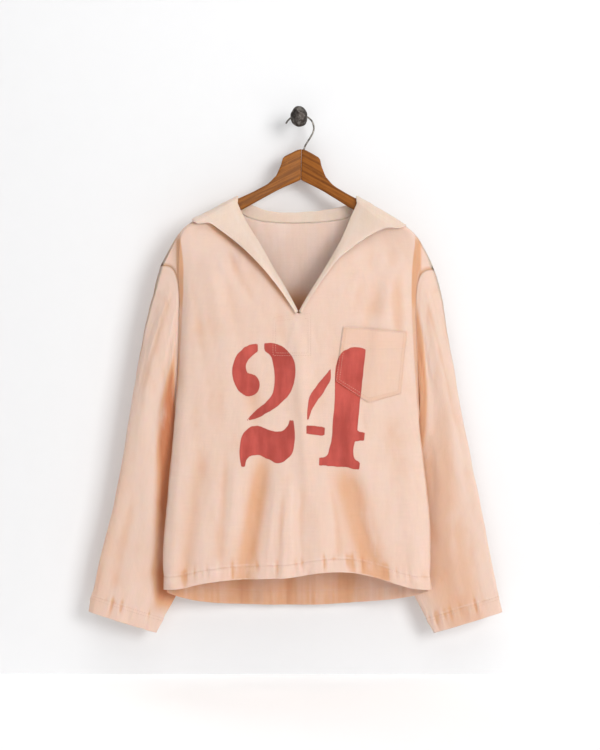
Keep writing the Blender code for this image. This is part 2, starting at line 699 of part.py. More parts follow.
def peg(look, group):
    """Shank from the wall and the hammered head in front of the hook."""
    bpy.ops.mesh.primitive_cylinder_add(vertices=16, radius=SHANK_RADIUS * MM, depth=SHANK_LENGTH * MM)
    shank = bpy.context.object
    shank.name = "peg_shank"
    shank.rotation_euler = (math.radians(90), 0, 0)
    shank.location = (0, -SHANK_LENGTH / 2 * MM, 0)
    profile = ((0.0, 0.52), (0.16, 0.86), (0.45, 1.0), (0.74, 0.86), (0.92, 0.55))
    bm = bmesh.new()
    rings = []
    for depth, width in profile:
        ring = []
        for k in range(PEG_SIDES):
            angle = 2 * math.pi * (k + 0.5) / PEG_SIDES
            dent = 1.0 + 0.05 * math.sin(2.7 * k + 9.0 * depth)
            ring.append(bm.verts.new((math.cos(angle) * PEG_WIDE * width * dent,
                                      -(SHANK_LENGTH + SEAM_GAP + depth * PEG_DEEP),
                                      math.sin(angle) * PEG_TALL * width * dent)))
        rings.append(ring)
    for low, high in zip(rings, rings[1:]):
        for k in range(PEG_SIDES):
            n = (k + 1) % PEG_SIDES
            bm.faces.new((low[k], low[n], high[n], high[k]))
    bm.faces.new(rings[0])
    tip = bm.verts.new((0.4, -(SHANK_LENGTH + SEAM_GAP + PEG_DEEP), 0.8))
    for k in range(PEG_SIDES):
        bm.faces.new((rings[-1][k], rings[-1][(k + 1) % PEG_SIDES], tip))
    bmesh.ops.recalc_face_normals(bm, faces=bm.faces)
    bmesh.ops.scale(bm, vec=(MM, MM, MM), verts=bm.verts)
    mesh = bpy.data.meshes.new("peg_head")
    bm.to_mesh(mesh)
    bm.free()
    mesh.materials.append(look)
    head = bpy.data.objects.new("peg_head", mesh)
    group.objects.link(head)
    shank.data.materials.append(look)
    for owner in list(shank.users_collection):
        owner.objects.unlink(shank)
    group.objects.link(shank)


def share_seam(first, second):
    """Give two pieces the same direction along the seam that they share."""
    both = unit(first + second)
    first[...] = both
    second[...] = both


def main():
    for made in list(bpy.data.objects):
        bpy.data.objects.remove(made, do_unlink=True)
    group = bpy.data.collections.new("sailor_jumper")
    cutters = bpy.data.collections.new("cutters")
    bpy.context.scene.collection.children.link(group)
    bpy.context.scene.collection.children.link(cutters)

    drill = material("pale_cotton_drill", (0.83, 0.61, 0.49), 0.85)
    inner_drill = material("pale_cotton_drill_back", (0.81, 0.59, 0.47), 0.85)
    wood = material("hanger_wood", (0.36, 0.13, 0.03), 0.45)
    steel = material("hook_steel", (0.10, 0.10, 0.10), 0.35, 1.0)
    iron = material("peg_iron", (0.05, 0.04, 0.04), 0.45, 1.0)

    front = panel("front")
    back = panel("back")
    front_out = grid_normals(front)
    back_out = -grid_normals(back)
    share_seam(front_out[0, :STRIP_COLUMNS + SHOULDER_COLUMNS + 1], back_out[0, :STRIP_COLUMNS + SHOULDER_COLUMNS + 1])
    share_seam(front_out[0, -STRIP_COLUMNS - SHOULDER_COLUMNS - 1:],
               back_out[0, -STRIP_COLUMNS - SHOULDER_COLUMNS - 1:])
    sleeves = {}
    for end, column, near, table in (("left", 0, 1, SLEEVE_LEFT), ("right", -1, -2, SLEEVE_RIGHT)):
        share_seam(front_out[ARMPIT_ROW:, column], back_out[ARMPIT_ROW:, column])
        rings = sleeve_rings(table)
        seam = np.concatenate([front[:ARMPIT_ROW + 1, column], back[ARMPIT_ROW - 1:0:-1, column]])
        inside = np.concatenate([front[2:ARMPIT_ROW + 3, near], back[ARMPIT_ROW + 1:2:-1, near]])
        out = np.concatenate([front_out[:ARMPIT_ROW + 1, column], back_out[ARMPIT_ROW - 1:0:-1, column]])
        seat_sleeve(rings, seam.copy(), inside, out)
        sleeves[end] = rings
    for grid in (front, back):
        side = grid[ARMPIT_ROW + 1:]
        side[:, 0, 1] += (-1 if grid is front else 1) * SEAM_GAP * 0.6
        side[:, -1, 1] += (-1 if grid is front else 1) * SEAM_GAP * 0.6
        grid[ARMPIT_ROW, [0, -1], 1] += (-1 if grid is front else 1) * SEAM_GAP * 0.6
        grid[0, [0, 1, 2, -3, -2, -1], 1] += (-1 if grid is front else 1) * 0.2

    def neck_gap(columns):
        edge = STRIP_COLUMNS + SHOULDER_COLUMNS

        def skip(r, c):
            return r < len(ROLL_REACH) and edge <= c < columns - 1 - edge
        return skip

    cloth_wall("front", front, front_out, drill, group, skip=neck_gap(front.shape[1]))
    cloth_wall("back", back, back_out, inner_drill, group, skip=neck_gap(back.shape[1]))
    for end, rings in sleeves.items():
        out = grid_normals(rings, closed=True)
        centre = rings.mean(axis=1, keepdims=True)
        if np.sum(out * (rings - centre)) < 0:
            out = -out
        cloth_wall("sleeve_" + end, rings, out, drill, group, closed=True)
    collar = collar_rows(collar_stations())
    cloth_wall("collar", collar, grid_normals(collar), drill, group)
    pocket = pocket_grid()
    cloth_wall("pocket", pocket, grid_normals(pocket), drill, group)

    hanger_half(-1, wood, group)
    right_half = hanger_half(1, wood, group)
    hook = hook_wire("hook", HOOK_WIRE, HOOK_PATH, group)
    hook.data.materials.append(steel)
    bore_for_hook(right_half, cutters)
    peg(iron, group)


main()
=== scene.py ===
"""Sailor jumper of pale cotton drill on a two-piece wooden hanger, hooked over an iron wall peg.

The tables are in millimetres. X runs to the viewer's right, Y goes back to the wall and Z goes up.
The origin is the middle of the peg's back face, which stands on the wall.
"""
import math

import bpy
import numpy as np
from bpy.props import FloatProperty, FloatVectorProperty, PointerProperty
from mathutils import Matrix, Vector
from mathutils.bvhtree import BVHTree


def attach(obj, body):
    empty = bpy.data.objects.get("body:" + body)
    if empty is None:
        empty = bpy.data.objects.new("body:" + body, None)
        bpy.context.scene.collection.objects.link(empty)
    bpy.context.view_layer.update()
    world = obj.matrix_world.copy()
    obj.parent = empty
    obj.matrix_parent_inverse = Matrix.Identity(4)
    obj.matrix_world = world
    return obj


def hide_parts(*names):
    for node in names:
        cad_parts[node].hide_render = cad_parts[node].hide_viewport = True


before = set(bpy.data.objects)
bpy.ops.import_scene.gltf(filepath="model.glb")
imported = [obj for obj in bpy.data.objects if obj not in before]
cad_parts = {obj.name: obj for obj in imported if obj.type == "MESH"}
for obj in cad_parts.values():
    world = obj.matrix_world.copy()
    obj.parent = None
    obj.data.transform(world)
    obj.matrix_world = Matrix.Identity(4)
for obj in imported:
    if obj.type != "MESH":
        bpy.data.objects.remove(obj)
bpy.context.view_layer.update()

bl_info = {
    "name": "Sailor Jumper",
    "version": (1, 0, 0),
    "blender": (4, 5, 0),
    "location": "View3D > Sidebar > Jumper",
    "description": "Dresses the sailor jumper, its hanger and its wall peg",
    "category": "Object",
}

# Sizes in millimetres, apart from MM, the metres in one
MM = 0.001
CLOTH = 1.5
SKIN = 1.0
SEAM_GAP = 0.3
SEAM_TOUCH = 0.05
LAYER = 2.5
NECK_GAP = 0.2
ARM_SLOPE = 0.15

# Body, level by level: its two side folds, the front cloth, the back cloth and the side seams
BODY = (
    # level, left fold, right fold, front middle, front fold, back middle, side seam
    (-204, -203, 200, -84, -80, -34, -52),
    (-244, -197.5, 194, -90, -84, -30, -50),
    (-322, -198, 191.5, -96, -86, -25, -50),
    (-420, -204, 196, -98, -87, -23, -52),
    (-500, -209.5, 201.5, -98, -87, -22, -62),
    (-595, -217.5, 211, -98, -88, -21, -70),
    (-692, -225.5, 220.5, -99, -89, -20, -72),
    (-758, -229.5, 222, -99, -88, -20, -72),
    (-812, -228, 224, -98, -86, -20, -70),
)
FOLD_TURN = 7.0
FOLD_START = 0.93
SEAM_INSET = 3.0
BACK_FACE = 0.88

# Shoulder line of the cloth: over the hanger's arms, then down past their ends
SHOULDER = (
    # across, height
    (-236.4, -257.4), (-219.7, -226.2), (-203.3, -199.2), (-184, -184), (-148, -163.1), (-107, -140.3),
    (-50, -109.5), (4, -88), (50, -110.5), (100, -139.7), (151.5, -171), (186, -193.5),
    (201.6, -207.6), (216, -233.2), (230.4, -263.7),
)
SHOULDER_ROLL = 10.0
HANG = 120.0

# Bottom edges of the two body panels
FRONT_HEM = (
    # across, height
    (-228, -809.6), (-198.6, -807), (-168, -799.3), (-139, -794.5), (-59, -789.3), (-13.5, -787), (39, -779),
    (95, -779.7), (125, -786.7), (156, -796), (187.5, -805.5), (224, -810),
)
BACK_HEM = (
    # across, height
    (-228, -815), (-209, -823.3), (-185.6, -830.7), (-154, -836.6), (-107, -840.4), (-30, -842.6),
    (50, -841.6), (112, -836.4), (158, -830.9), (195, -823.6), (224, -814),
)

# Largest folds: a line down the cloth, its half width and how far it stands out (minus sinks in)
FRONT_FOLDS = (
    # top x, top z, bottom x, bottom z, half width, rise
    (-3, -345, 14, -640, 13, 5.0),
    (-56, -560, -98, -815, 17, -8.0),
    (-24, -600, -26, -815, 12, 4.0),
    (72, -590, 134, -800, 24, -8.5),
    (30, -640, 40, -800, 18, 4.0),
    (-168, -215, -96, -430, 20, 4.0),
    (-140, -250, -70, -520, 18, -4.0),
    (170, -225, 120, -420, 18, 3.5),
    (142, -250, 100, -470, 16, -3.5),
    (-165, -560, -196, -800, 16, -3.5),
    (178, -560, 200, -800, 16, 3.0),
)
BACK_FOLDS = (
    # top x, top z, bottom x, bottom z, half width, rise
    (-120, -300, -96, -840, 20, 4.0),
    (-64, -360, -52, -845, 16, -4.0),
    (-14, -470, -16, -845, 10, 3.5),
    (30, -420, 34, -845, 18, -4.5),
    (92, -330, 84, -840, 20, 4.0),
    (140, -360, 150, -830, 18, -4.0),
)

# Neck and collar at each station: the seam, the fold at the top, the outer edge and its stand-off
NECK_LEFT = (
    # seam x, seam z, fold x, fold z, edge x, edge z, lift
    (-111.5, -154.5, -105, -151.5, -152, -185.5, 7),
    (-95.8, -186.8, -90, -183.6, -123, -205.5, 9),
    (-72, -223.8, -67.2, -220.8, -89, -234.5, 11),
    (-48.2, -263.6, -44.4, -261.3, -57, -268.3, 10),
    (-24.8, -300, -22, -298.3, -30, -302.5, 7),
    (-3.6, -338, -1.9, -336.4, -5.6, -339.8, 2),
)
NECK_RIGHT = (
    # seam x, seam z, fold x, fold z, edge x, edge z, lift
    (105.5, -154.7, 99, -151.8, 152, -193.5, 10),
    (94.2, -178, 88.6, -174.9, 128, -202, 9),
    (80.5, -209.6, 75.6, -206.8, 98, -221.5, 8),
    (61, -243.4, 57.2, -241.2, 66.5, -247.2, 5),
    (42.8, -271.6, 40.1, -269.9, 46.2, -273.8, 3),
    (22.4, -302.5, 20.3, -301.2, 25, -304.2, 2.5),
    (2.0, -338, 0.3, -336.4, 4, -339.8, 2),
)
NECK_BACK = (
    # seam x, seam z, fold x, fold z, edge x, edge z, lift
    (-111.5, -154.5, -104, -148.5, -182.5, -204, 2),
    (-99, -166, -92.5, -150, -182.5, -262, 3),
    (-84, -174, -79, -152, -182, -345, 4),
    (-66, -178.5, -63, -158.5, -181, -446, 4),
    (-46, -180.5, -46, -162, -122, -449, 5),
    (-22, -181.5, -22, -163.5, -60, -451, 5),
    (0, -181.5, 0, -163, 0, -452, 5),
    (24, -181, 24, -161.5, 60, -451, 5),
    (45, -179.5, 44, -158.8, 122, -449, 5),
    (65, -177.5, 62, -156.2, 181, -446, 4),
    (82, -173.5, 77, -153.2, 182, -345, 4),
    (94, -166, 88, -150.5, 182.5, -262, 3),
    (105.5, -154.7, 98, -149.5, 182.5, -212, 2),
)
# Collar where it crosses the shoulder: reach from the shoulder line, toward the back or the front
COLLAR_CROSSING = (
    # seam reach, edge reach, edge inset, lift
    (13, 13, 0, 1.0),
    (9, 9, 0, 0.6),
    (4.5, 4.5, 0, 0.4),
    (0, 0, 0, 0.4),
    (-4.5, -5, 0.5, 1.2),
    (-9, -11, 4, 3),
    (-13, -18, 14, 6),
)
COLLAR_TIP = 182.5
NECK_CORNERS = {-1: (-111.5, -105.0), 1: (105.5, 98.8)}
V_COLUMNS = 8
NECK_COLUMNS = 12
FLAP_STATIONS = (16, 28)

# Sleeves, ring by ring: outer and inner edge, half depth and how far the armhole bows inward
SLEEVE_LEFT = (
    # outer x, outer y, outer z, inner x, inner y, inner z, half depth, bow
    (-236.4, -66, -257.4, -207.6, -60, -504, 9, 36),
    (-246, -66, -294, -212.5, -58, -519, 12.5, 29),
    (-256.2, -65, -332.8, -214.5, -54, -539, 15.5, 20),
    (-272.3, -63, -411.5, -212.5, -49, -566, 18, 8),
    (-286.2, -61, -490.3, -205, -42, -602, 19, 0),
    (-301.8, -59, -584.6, -192, -35, -650, 18, 0),
    (-320, -57, -675.6, -184, -31, -712, 16, 0),
    (-341.8, -54, -761.8, -200, -33, -796, 13, 0),
    (-360.3, -50, -850.6, -248, -40, -887.5, 11, 0),
)
SLEEVE_RIGHT = (
    # outer x, outer y, outer z, inner x, inner y, inner z, half depth, bow
    (230.4, -66, -263.7, 202.5, -60, -504, 9, 35),
    (241.2, -66, -296.9, 205.5, -58, -519, 12.5, 28),
    (248, -65, -333, 205, -54, -539, 15.5, 19),
    (260.5, -63, -411, 203, -49, -566, 18, 8),
    (275, -61, -491, 198, -42, -602, 19, 0),
    (293.3, -59, -585, 185, -35, -650, 18, 0),
    (312.8, -57, -676, 177, -31, -712, 16, 0),
    (329.8, -54, -762, 188, -33, -796, 13, 0),
    (347.4, -50, -851.6, 234, -40, -888.1, 11, 0),
)
SLEEVE_FOLDS = (
    # start station, end station, turn at start, turn at end, half width in turns, rise
    (0.6, 5.5, 0.10, 0.17, 0.045, 3.0),
    (0.8, 6.5, 0.20, 0.29, 0.040, -3.5),
    (2.0, 8.0, 0.27, 0.22, 0.040, 2.5),
    (1.0, 7.0, 0.70, 0.76, 0.050, 3.0),
    (3.0, 8.0, 0.84, 0.80, 0.045, -3.0),
)
TUBE_ROUND = 0.8

# Pocket on the wearer's left breast
POCKET_TOP_LEFT = (74.5, -362.4)
POCKET_TOP_RIGHT = (184, -371)
POCKET_LOW_LEFT = (61.5, -454.2)
POCKET_LOW_RIGHT = (173.5, -476)
POCKET_POINT = 26.0
POCKET_BAND = 0.27
POCKET_WIDE = 110.0
POCKET_TALL = 95.0

# Smaller creases in the front and back: two ends, half width to the left and right, and rise
FRONT_CREASES = (
    # x, z, x, z, left width, right width, rise
    (-40, -600, -52, -790, 5, 6, 1.5),
    (-13, -610, -14, -785, 4, 5, 1.4),
    (-27, -610, -33, -805, 5, 4, -1.7),
    (6, -605, 4, -790, 6, 7, -1.5),
    (52, -605, 70, -785, 6, 9, -1.5),
    (100, -640, 150, -800, 7, 9, 1.4),
    (-150, -212, -94, -335, 7, 10, 1.2),
    (-128, -222, -68, -335, 8, 7, -1.0),
    (-186, -255, -160, -425, 9, 8, -1.2),
    (150, -222, 114, -335, 9, 7, 1.0),
    (176, -238, 160, -405, 8, 9, -1.0),
    (120, -246, 80, -385, 7, 8, -0.8),
    (1, -340, -30, -425, 5, 7, 1.0),
    (4, -340, 30, -405, 7, 5, 1.2),
    (-104, -560, -124, -780, 10, 9, 1.6),
    (-118, -540, -140, -790, 9, 11, -1.6),
    (38, -470, 58, -600, 9, 12, 0.7),
    (104, -520, 118, -640, 11, 9, 0.9),
    (150, -500, 172, -700, 12, 10, -0.9),
    (-186, -420, -196, -560, 8, 8, 0.8),
)
BACK_CREASES = (
    # x, z, x, z, left width, right width, rise
    (-150, -215, -110, -380, 9, 8, 1.1),
    (146, -220, 112, -390, 8, 9, 1.0),
    (-176, -400, -168, -640, 10, 9, -1.0),
    (172, -430, 176, -690, 9, 11, 0.9),
    (-30, -520, -42, -830, 7, 9, 0.9),
    (8, -560, 10, -835, 8, 6, -0.8),
    (62, -500, 58, -820, 9, 7, 0.9),
    (118, -520, 122, -815, 8, 9, -0.9),
    (-98, -560, -84, -835, 7, 9, 0.8),
)
LAPEL_SEAM = (
    # x, z
    (96, -162.8), (104.4, -183.7), (114.2, -210.5),
)
SLEEVE_CREASES = (
    # start station, end station, turn at start, turn at end, half width in turns, rise
    (0.1, 2.4, 0.16, 0.20, 0.022, 1.3),
    (0.1, 2.2, 0.26, 0.27, 0.020, -1.2),
    (0.0, 1.8, 0.34, 0.35, 0.020, 1.0),
    (0.5, 3.6, 0.11, 0.12, 0.016, -1.0),
    (2.6, 4.6, 0.30, 0.22, 0.024, 1.4),
    (3.4, 5.6, 0.34, 0.28, 0.022, -1.3),
    (4.2, 6.6, 0.18, 0.24, 0.020, 1.0),
    (5.2, 7.6, 0.14, 0.16, 0.022, -1.1),
    (6.0, 7.9, 0.32, 0.30, 0.020, 0.9),
    (0.1, 2.6, 0.80, 0.78, 0.022, 1.2),
    (0.1, 2.2, 0.68, 0.69, 0.020, -1.1),
    (2.0, 4.6, 0.66, 0.72, 0.024, 1.2),
    (4.4, 7.4, 0.74, 0.70, 0.022, -1.1),
)
HEM_TURN = 22.0
CUFF_TURN = 28.0
FELL_WIDTH = 9.5
PUCKER_PITCH = 5.5

# Unevenness of washed cloth, from broad to fine
FRONT_CRUMPLE = (
    # height, slant, width, length, seed
    (0.7, 0.15, 17, 85, 3),
    (0.55, 0, 34, 46, 4),
    (0.26, 0, 7, 12, 5),
)
BACK_CRUMPLE = (
    # height, slant, width, length, seed
    (0.45, -0.1, 19, 90, 13),
    (0.4, 0, 36, 48, 14),
    (0.26, 0, 7, 12, 15),
)
COLLAR_CRUMPLE = (
    # height, slant, width, length, seed
    (0.8, 0, 30, 42, 61),
    (0.7, 0, 12, 20, 62),
)
SLEEVE_CRUMPLE = (
    # height, waves round the sleeve, length in stations
    (0.7, 22, 0.8),
    (0.55, 11, 0.35),
    (0.26, 60, 0.14),
)

# Sewing: two lines round the placket, and one stitch as rings along it
PLACKET = (
    ((-6, -341), (-44, -347), (-44, -411), (19.8, -411.5), (19.8, -340), (6, -341)),
    ((-8, -349), (-39.5, -353), (-39.5, -406.5), (15.3, -407), (15.3, -348), (6, -349)),
)
STITCH_RINGS = (
    # share of the length, size, rise
    (0.0, 0.45, -0.5), (0.2, 1.0, 0.45), (0.8, 1.0, 0.45), (1.0, 0.45, -0.5),
)
STITCH_SPACING = 1.5
THREAD_SIDES = 5
DROP_STEP = 3.0

# Stencilled number: each shape is a loop of runs, smooth inside a run and with corners between runs
TWO_PLACE = (-113.9, -600.7)
TWO = (
    (((44, 209.9), (22.5, 204.1), (6.4, 187.2), (0, 163.5), (4.7, 141.5), (14.9, 126.3), (29.3, 120.3),
      (42, 125.4), (47.9, 140.7), (42, 155), (26.2, 160.1)),
     ((26.2, 160.1), (24.5, 173.7), (31, 186.4), (44, 196.8))),
    (((54.7, 210.6), (75, 209.5), (95.3, 197.4), (106.8, 175.4), (107.1, 155), (100.4, 129.7), (83.4, 108.5),
      (61.4, 93.3), (42.8, 84), (24.2, 78.4)),
     ((24.2, 78.4), (34.4, 90.7), (54.7, 107.6), (67.4, 121.2), (72.6, 141.5), (70.8, 172), (65.7, 189.7),
      (54.7, 198))),
    (((104.9, 80.6), (107.1, 48.4), (102.1, 24.7), (88.5, 10.3), (75.8, 7.8), (60.3, 14.9), (44.5, 21.3),
      (31, 19.1), (24.7, 10.3), (23.2, 0.7)),
     ((15.7, 0), (13.7, 33.2), (19.5, 56.9), (31, 68.2), (42.8, 70.4), (59.7, 65.3), (76.7, 60.3),
      (88.5, 64.3), (95, 73), (97.5, 80.6))),
)
FOUR_PLACE = (12.0, -604.8)
FOUR = (
    (((41.5, 171), (40.5, 150.6), (32.8, 136.4), (15.6, 112.2), (7.8, 96.6), (4.4, 85.1)),
     ((1.4, 84.8), (2, 101.9), (6.9, 126.1), (17.6, 142.2), (30.3, 157.8), (41.5, 171))),
    (((0, 76.3), (32.8, 72.3)), ((31.7, 57.9), (0.3, 61.6))),
    (((50.6, 176), (57.4, 194.6), (72.6, 206.3), (91.2, 206.8), (101, 203.8)),
     ((86.3, 65.7), (99.7, 64)), ((98.2, 49.3), (82.1, 49.1)),
     ((82.1, 49.1), (79.4, 30.5), (82.1, 17.8), (91.2, 13)),
     ((90.7, 0), (58.7, 5.1), (22.2, 7.8)),
     ((22.9, 20.6), (34.5, 23.7), (40.1, 38.9), (45, 81.2), (49.6, 165.9))),
)
PAINT_REACH = 8.0
PAINT_DARK = 0.68
PAINT_THIN = 0.035

# The cloth's painted shade tints, for a hollow and for a deep one, and its pale tint where it is worn and
# where painted light brightens it, as factors of its main tint
SHADE_TINT = (0.88, 0.66, 0.47)
DEEP_SHADE_TINT = (0.68, 0.34, 0.19)
PALE = (1.03, 1.08, 1.14)
WAVE_PER_THREAD = 0.314
TWILL_TURN = 0.86

# Hanger: half its outline from the top of the middle, then how it hangs
HANGER_TOP = (4.6, -53.6)
ARM_CREST = (
    # along, height
    (0, 0), (7, -1.6), (14, -5.5), (22, -9.8), (29.5, -14.5), (32.3, -18), (34.8, -29), (42, -46.5),
    (53, -59.5), (71, -71.5), (109, -91.8), (150, -116.2), (182, -137.2),
)
ARM_BELLY = (
    # along, height
    (0, -53.3), (37.5, -72), (67, -89.5), (96, -107), (150, -137), (182, -154.0),
)
ARM_END = 188.0
HANGER_THICK = 11.0
HANGER_TILT = math.radians(1.5)
HANGER_SWEEP = math.tan(math.radians(10.5))
HANGER_Y = -35.0
HANGER_SIDES = 40
HANGER_SQUARE = 0.45
GRAIN_SLOPE = 0.55

# Hook and peg
HOOK_WIRE = 1.5
HOOK_PATH = (
    # across, height
    (-22, -8.5), (-19.2, -4.2), (-15.6, -0.6), (-8.6, 5.0), (0, 7.0), (8.6, 5.4), (15.7, 1.0), (22.1, -5),
    (25, -12.4), (25.6, -19), (24, -25.1), (19.8, -33), (14.5, -41.5), (10.2, -48.8), (8.7, -54),
    (8.0, -57.5), (7.3, -61),
)
SHANK_RADIUS = 5.1
SHANK_LENGTH = 45.0
SHANK_SIDES = 28
PEG_WIDE = 15.2
PEG_TALL = 18.3
PEG_DEEP = 21.0
HEAD_FACETS = 46
HEAD_POWER = 42.0
HEAD_ROWS = 64
HEAD_SIDES = 96

# Row marks down the body: 4 rows over the shoulder, 9 more to the armpit and 9 to the hem
MARKS = np.concatenate([np.linspace(0, 4, 26, endpoint=False), np.linspace(4, 13, 90, endpoint=False),
                        np.linspace(13, 21, 78, endpoint=False), np.linspace(21, 22, 25)])
CROWN_MARKS = (0, 1, 2, 3, 4)
CROWN_REACH = (0.2, 4.5, 9.0, 13.0, 17.0)
ARMPIT_MARK = 13
LAST_MARK = 22
SEAM_STRIP = 10
FRONT_COLUMNS = (22, 60)
BACK_COLUMNS = (22, 66)
SLEEVE_STATIONS = 150
CUFF_STATION = 7.4
CUFF_ROWS = 34
SEAT_FADE = ((0, 0.444, 0.889, 1.333), (1, 0.8, 0.4, 0))
COLLAR_COLUMNS = 10
FALL_ROWS = 46
POCKET_GRID = 60

# Cut of each cloth: width and length, flat area, how it is held and on what
FRONT_CUT = ((0.49, 0.67), 0.268, "hung", ("hanger_left", "hanger_right"))
BACK_CUT = ((0.49, 0.70), 0.296, "hung", ("hanger_left", "hanger_right"))
# Stage in metres: wall, floor, lights and camera
FLOOR_LEVEL = -0.967
WALL_CORNERS = ((-3, 0, FLOOR_LEVEL), (3, 0, FLOOR_LEVEL), (3, 0, 1.6), (-3, 0, 1.6))
FLOOR_CORNERS = ((-3, -5, FLOOR_LEVEL), (3, -5, FLOOR_LEVEL), (3, 3, FLOOR_LEVEL), (-3, 3, FLOOR_LEVEL))
LIGHTS = (
    # name, place, aim, size
    ("key", (2.7, -4.3, 0.7), (0.0, -0.05, -0.45), 2.2),
    ("fill", (0.1, -1.7, 2.1), (0.0, -0.05, -0.55), 2.4),
    ("front", (-0.9, -4.6, -0.1), (0.0, -0.05, -0.45), 2.6),
    ("rear", (-1.5, 2.0, 0.2), (0.0, -0.05, -0.45), 1.4),
)
CAMERA_PLACE = (0.0017, -3.085, -0.444)
LENS_LENGTH = 84.7
SENSOR_WIDTH = 36.0

# Skins and normals of the finished cloth pieces, for the pieces that are sewn to them
cloth = {}


def rows(table):
    """A table as an array of floats."""
    return np.array(table, dtype=float)


def smooth_curve(knots, values, at):
    """Values read off a smooth curve through the knots, at any places along it."""
    knots = np.asarray(knots, dtype=float)
    values = np.asarray(values, dtype=float)
    at = np.clip(np.asarray(at, dtype=float), knots[0], knots[-1])
    slopes = np.gradient(values, knots, axis=0)
    cell = np.clip(np.searchsorted(knots, at, side="right") - 1, 0, len(knots) - 2)
    span = knots[cell + 1] - knots[cell]
    t = (at - knots[cell]) / span
    if values.ndim > 1:
        span = span[..., None]
        t = t[..., None]
    low = values[cell]
    high = values[cell + 1]
    return (low * (2 * t**3 - 3 * t**2 + 1) + slopes[cell] * span * (t**3 - 2 * t**2 + t)
            + high * (3 * t**2 - 2 * t**3) + slopes[cell + 1] * span * (t**3 - t**2))


def ease(value):
    """Rises smoothly from 0 to 1."""
    t = np.clip(value, 0.0, 1.0)
    return t * t * (3.0 - 2.0 * t)


def band(value, low, high, low_fade, high_fade):
    """1 between two limits and 0 outside them, with a soft step inside each."""
    return ease((value - low) / low_fade) * ease((high - value) / high_fade)


def ridge(value, width):
    return np.exp(-(value / width) ** 2)


def mix(a, b, share):
    return a + (b - a) * share


def unit(vectors):
    return vectors / np.maximum(np.linalg.norm(vectors, axis=-1, keepdims=True), 1e-9)


def soft_noise(u, v, wide, tall, seed, wrap=64):
    """Smooth unevenness between -1 and 1, the same on every run."""
    lattice = np.random.default_rng(seed).uniform(-1, 1, (wrap, 64))
    across_steps = np.asarray(u) / wide + 1000 * wrap
    down_steps = np.asarray(v) / tall + 6400
    i = np.floor(across_steps).astype(int)
    j = np.floor(down_steps).astype(int)
    s = ease(across_steps - i)
    t = ease(down_steps - j)

    def pick(m, n):
        return lattice[m % wrap, n % 64]
    return mix(mix(pick(i, j), pick(i + 1, j), s), mix(pick(i, j + 1), pick(i + 1, j + 1), s), t)


def crease_rise(creases, x, z):
    """How far a table of creases stands out at a place on the cloth."""
    total = np.zeros(np.broadcast(x, z).shape)
    for x0, z0, x1, z1, left, right, rise in creases:
        length = math.hypot(x1 - x0, z1 - z0)
        dx, dz = (x1 - x0) / length, (z1 - z0) / length
        along = ((x - x0) * dx + (z - z0) * dz) / length
        off = (z - z0) * dx - (x - x0) * dz
        off = off + 2.0 * np.sin(along * 5.0 + x0) * ease(length / 200)
        width = np.where(off < 0, left, right)
        total = total + rise * band(along, 0, 1, 0.3, 0.35) * ridge(off, width)
    return total


def body_at(level):
    """Left fold, right fold, front middle, front fold, back middle and side seam at a level."""
    table = rows(BODY)[::-1]
    found = smooth_curve(table[:, 0], table[:, 1:], level)
    return [found[..., i] for i in range(6)]


def side_share(x, level):
    """How far x lies from the middle to a side fold: -1 at the left fold and 1 at the right one."""
    left, right = body_at(level)[:2]
    return 2.0 * (x - left) / (right - left) - 1.0


def across(share, level):
    left, right = body_at(level)[:2]
    return mix(left, right, (share + 1.0) / 2.0)


def fold_rise(folds, x, z):
    """How far the folds of a table stand out at a place on the cloth."""
    total = np.zeros(np.broadcast(x, z).shape)
    for top_x, top_z, low_x, low_z, width, rise in folds:
        along = (top_z - z) / (top_z - low_z)
        middle = mix(top_x, low_x, along)
        total = total + rise * band(along, -0.08, 1.15, 0.35, 0.3) * ridge(x - middle, width)
    return total


def front_y(x, z):
    left, right, middle, fold, _, _ = body_at(z)
    share = np.abs(2.0 * (x - left) / (right - left) - 1.0)
    turn = FOLD_TURN * np.clip((share - FOLD_START) / (1.0 - FOLD_START), 0.0, 1.3) ** 2
    calm = ease((1.0 - share) / 0.12)
    return mix(middle, fold, share**2.4) + turn - fold_rise(FRONT_FOLDS, x, z) * calm


def back_y(x, z):
    left, right, _, _, middle, side = body_at(z)
    share = np.abs(2.0 * (x - left) / (right - left) - 1.0)
    calm = ease((1.0 - share) / 0.2)
    return mix(middle, side, np.minimum(share, 1.1) ** 2.6) + fold_rise(BACK_FOLDS, x, z) * calm


def arm_y(x):
    return HANGER_Y - HANGER_SWEEP * np.minimum(np.abs(x - HANGER_TOP[0]), ARM_END)


def shoulder_z(x):
    table = rows(SHOULDER)
    return smooth_curve(table[:, 0], table[:, 1], x)


def reach_to(x, z):
    """Length of cloth from the shoulder line straight down to a height."""
    return shoulder_z(x) - z + SHOULDER_ROLL * (math.pi / 2 - 1)


def over_shoulder(x, reach, out=0.0):
    """Point on the body reached from the shoulder line: forward is minus, back is plus."""
    x, reach, out = np.broadcast_arrays(*(np.asarray(value, float) for value in (x, reach, out)))
    side = np.where(reach < 0, -1.0, 1.0)
    length = np.abs(reach)
    quarter = SHOULDER_ROLL * math.pi / 2
    angle = np.minimum(length, quarter) / SHOULDER_ROLL
    below = np.maximum(length - quarter, 0.0)
    out = out * (1.0 + ARM_SLOPE * np.cos(angle))
    y = arm_y(x) + side * (SHOULDER_ROLL + out) * np.sin(angle)
    z = shoulder_z(x) - SHOULDER_ROLL + (SHOULDER_ROLL + out) * np.cos(angle) - below
    face = np.where(side < 0, front_y(x, z), back_y(x, z)) + side * out
    return np.stack([x, mix(y, face, ease(below / HANG)), z], axis=-1)


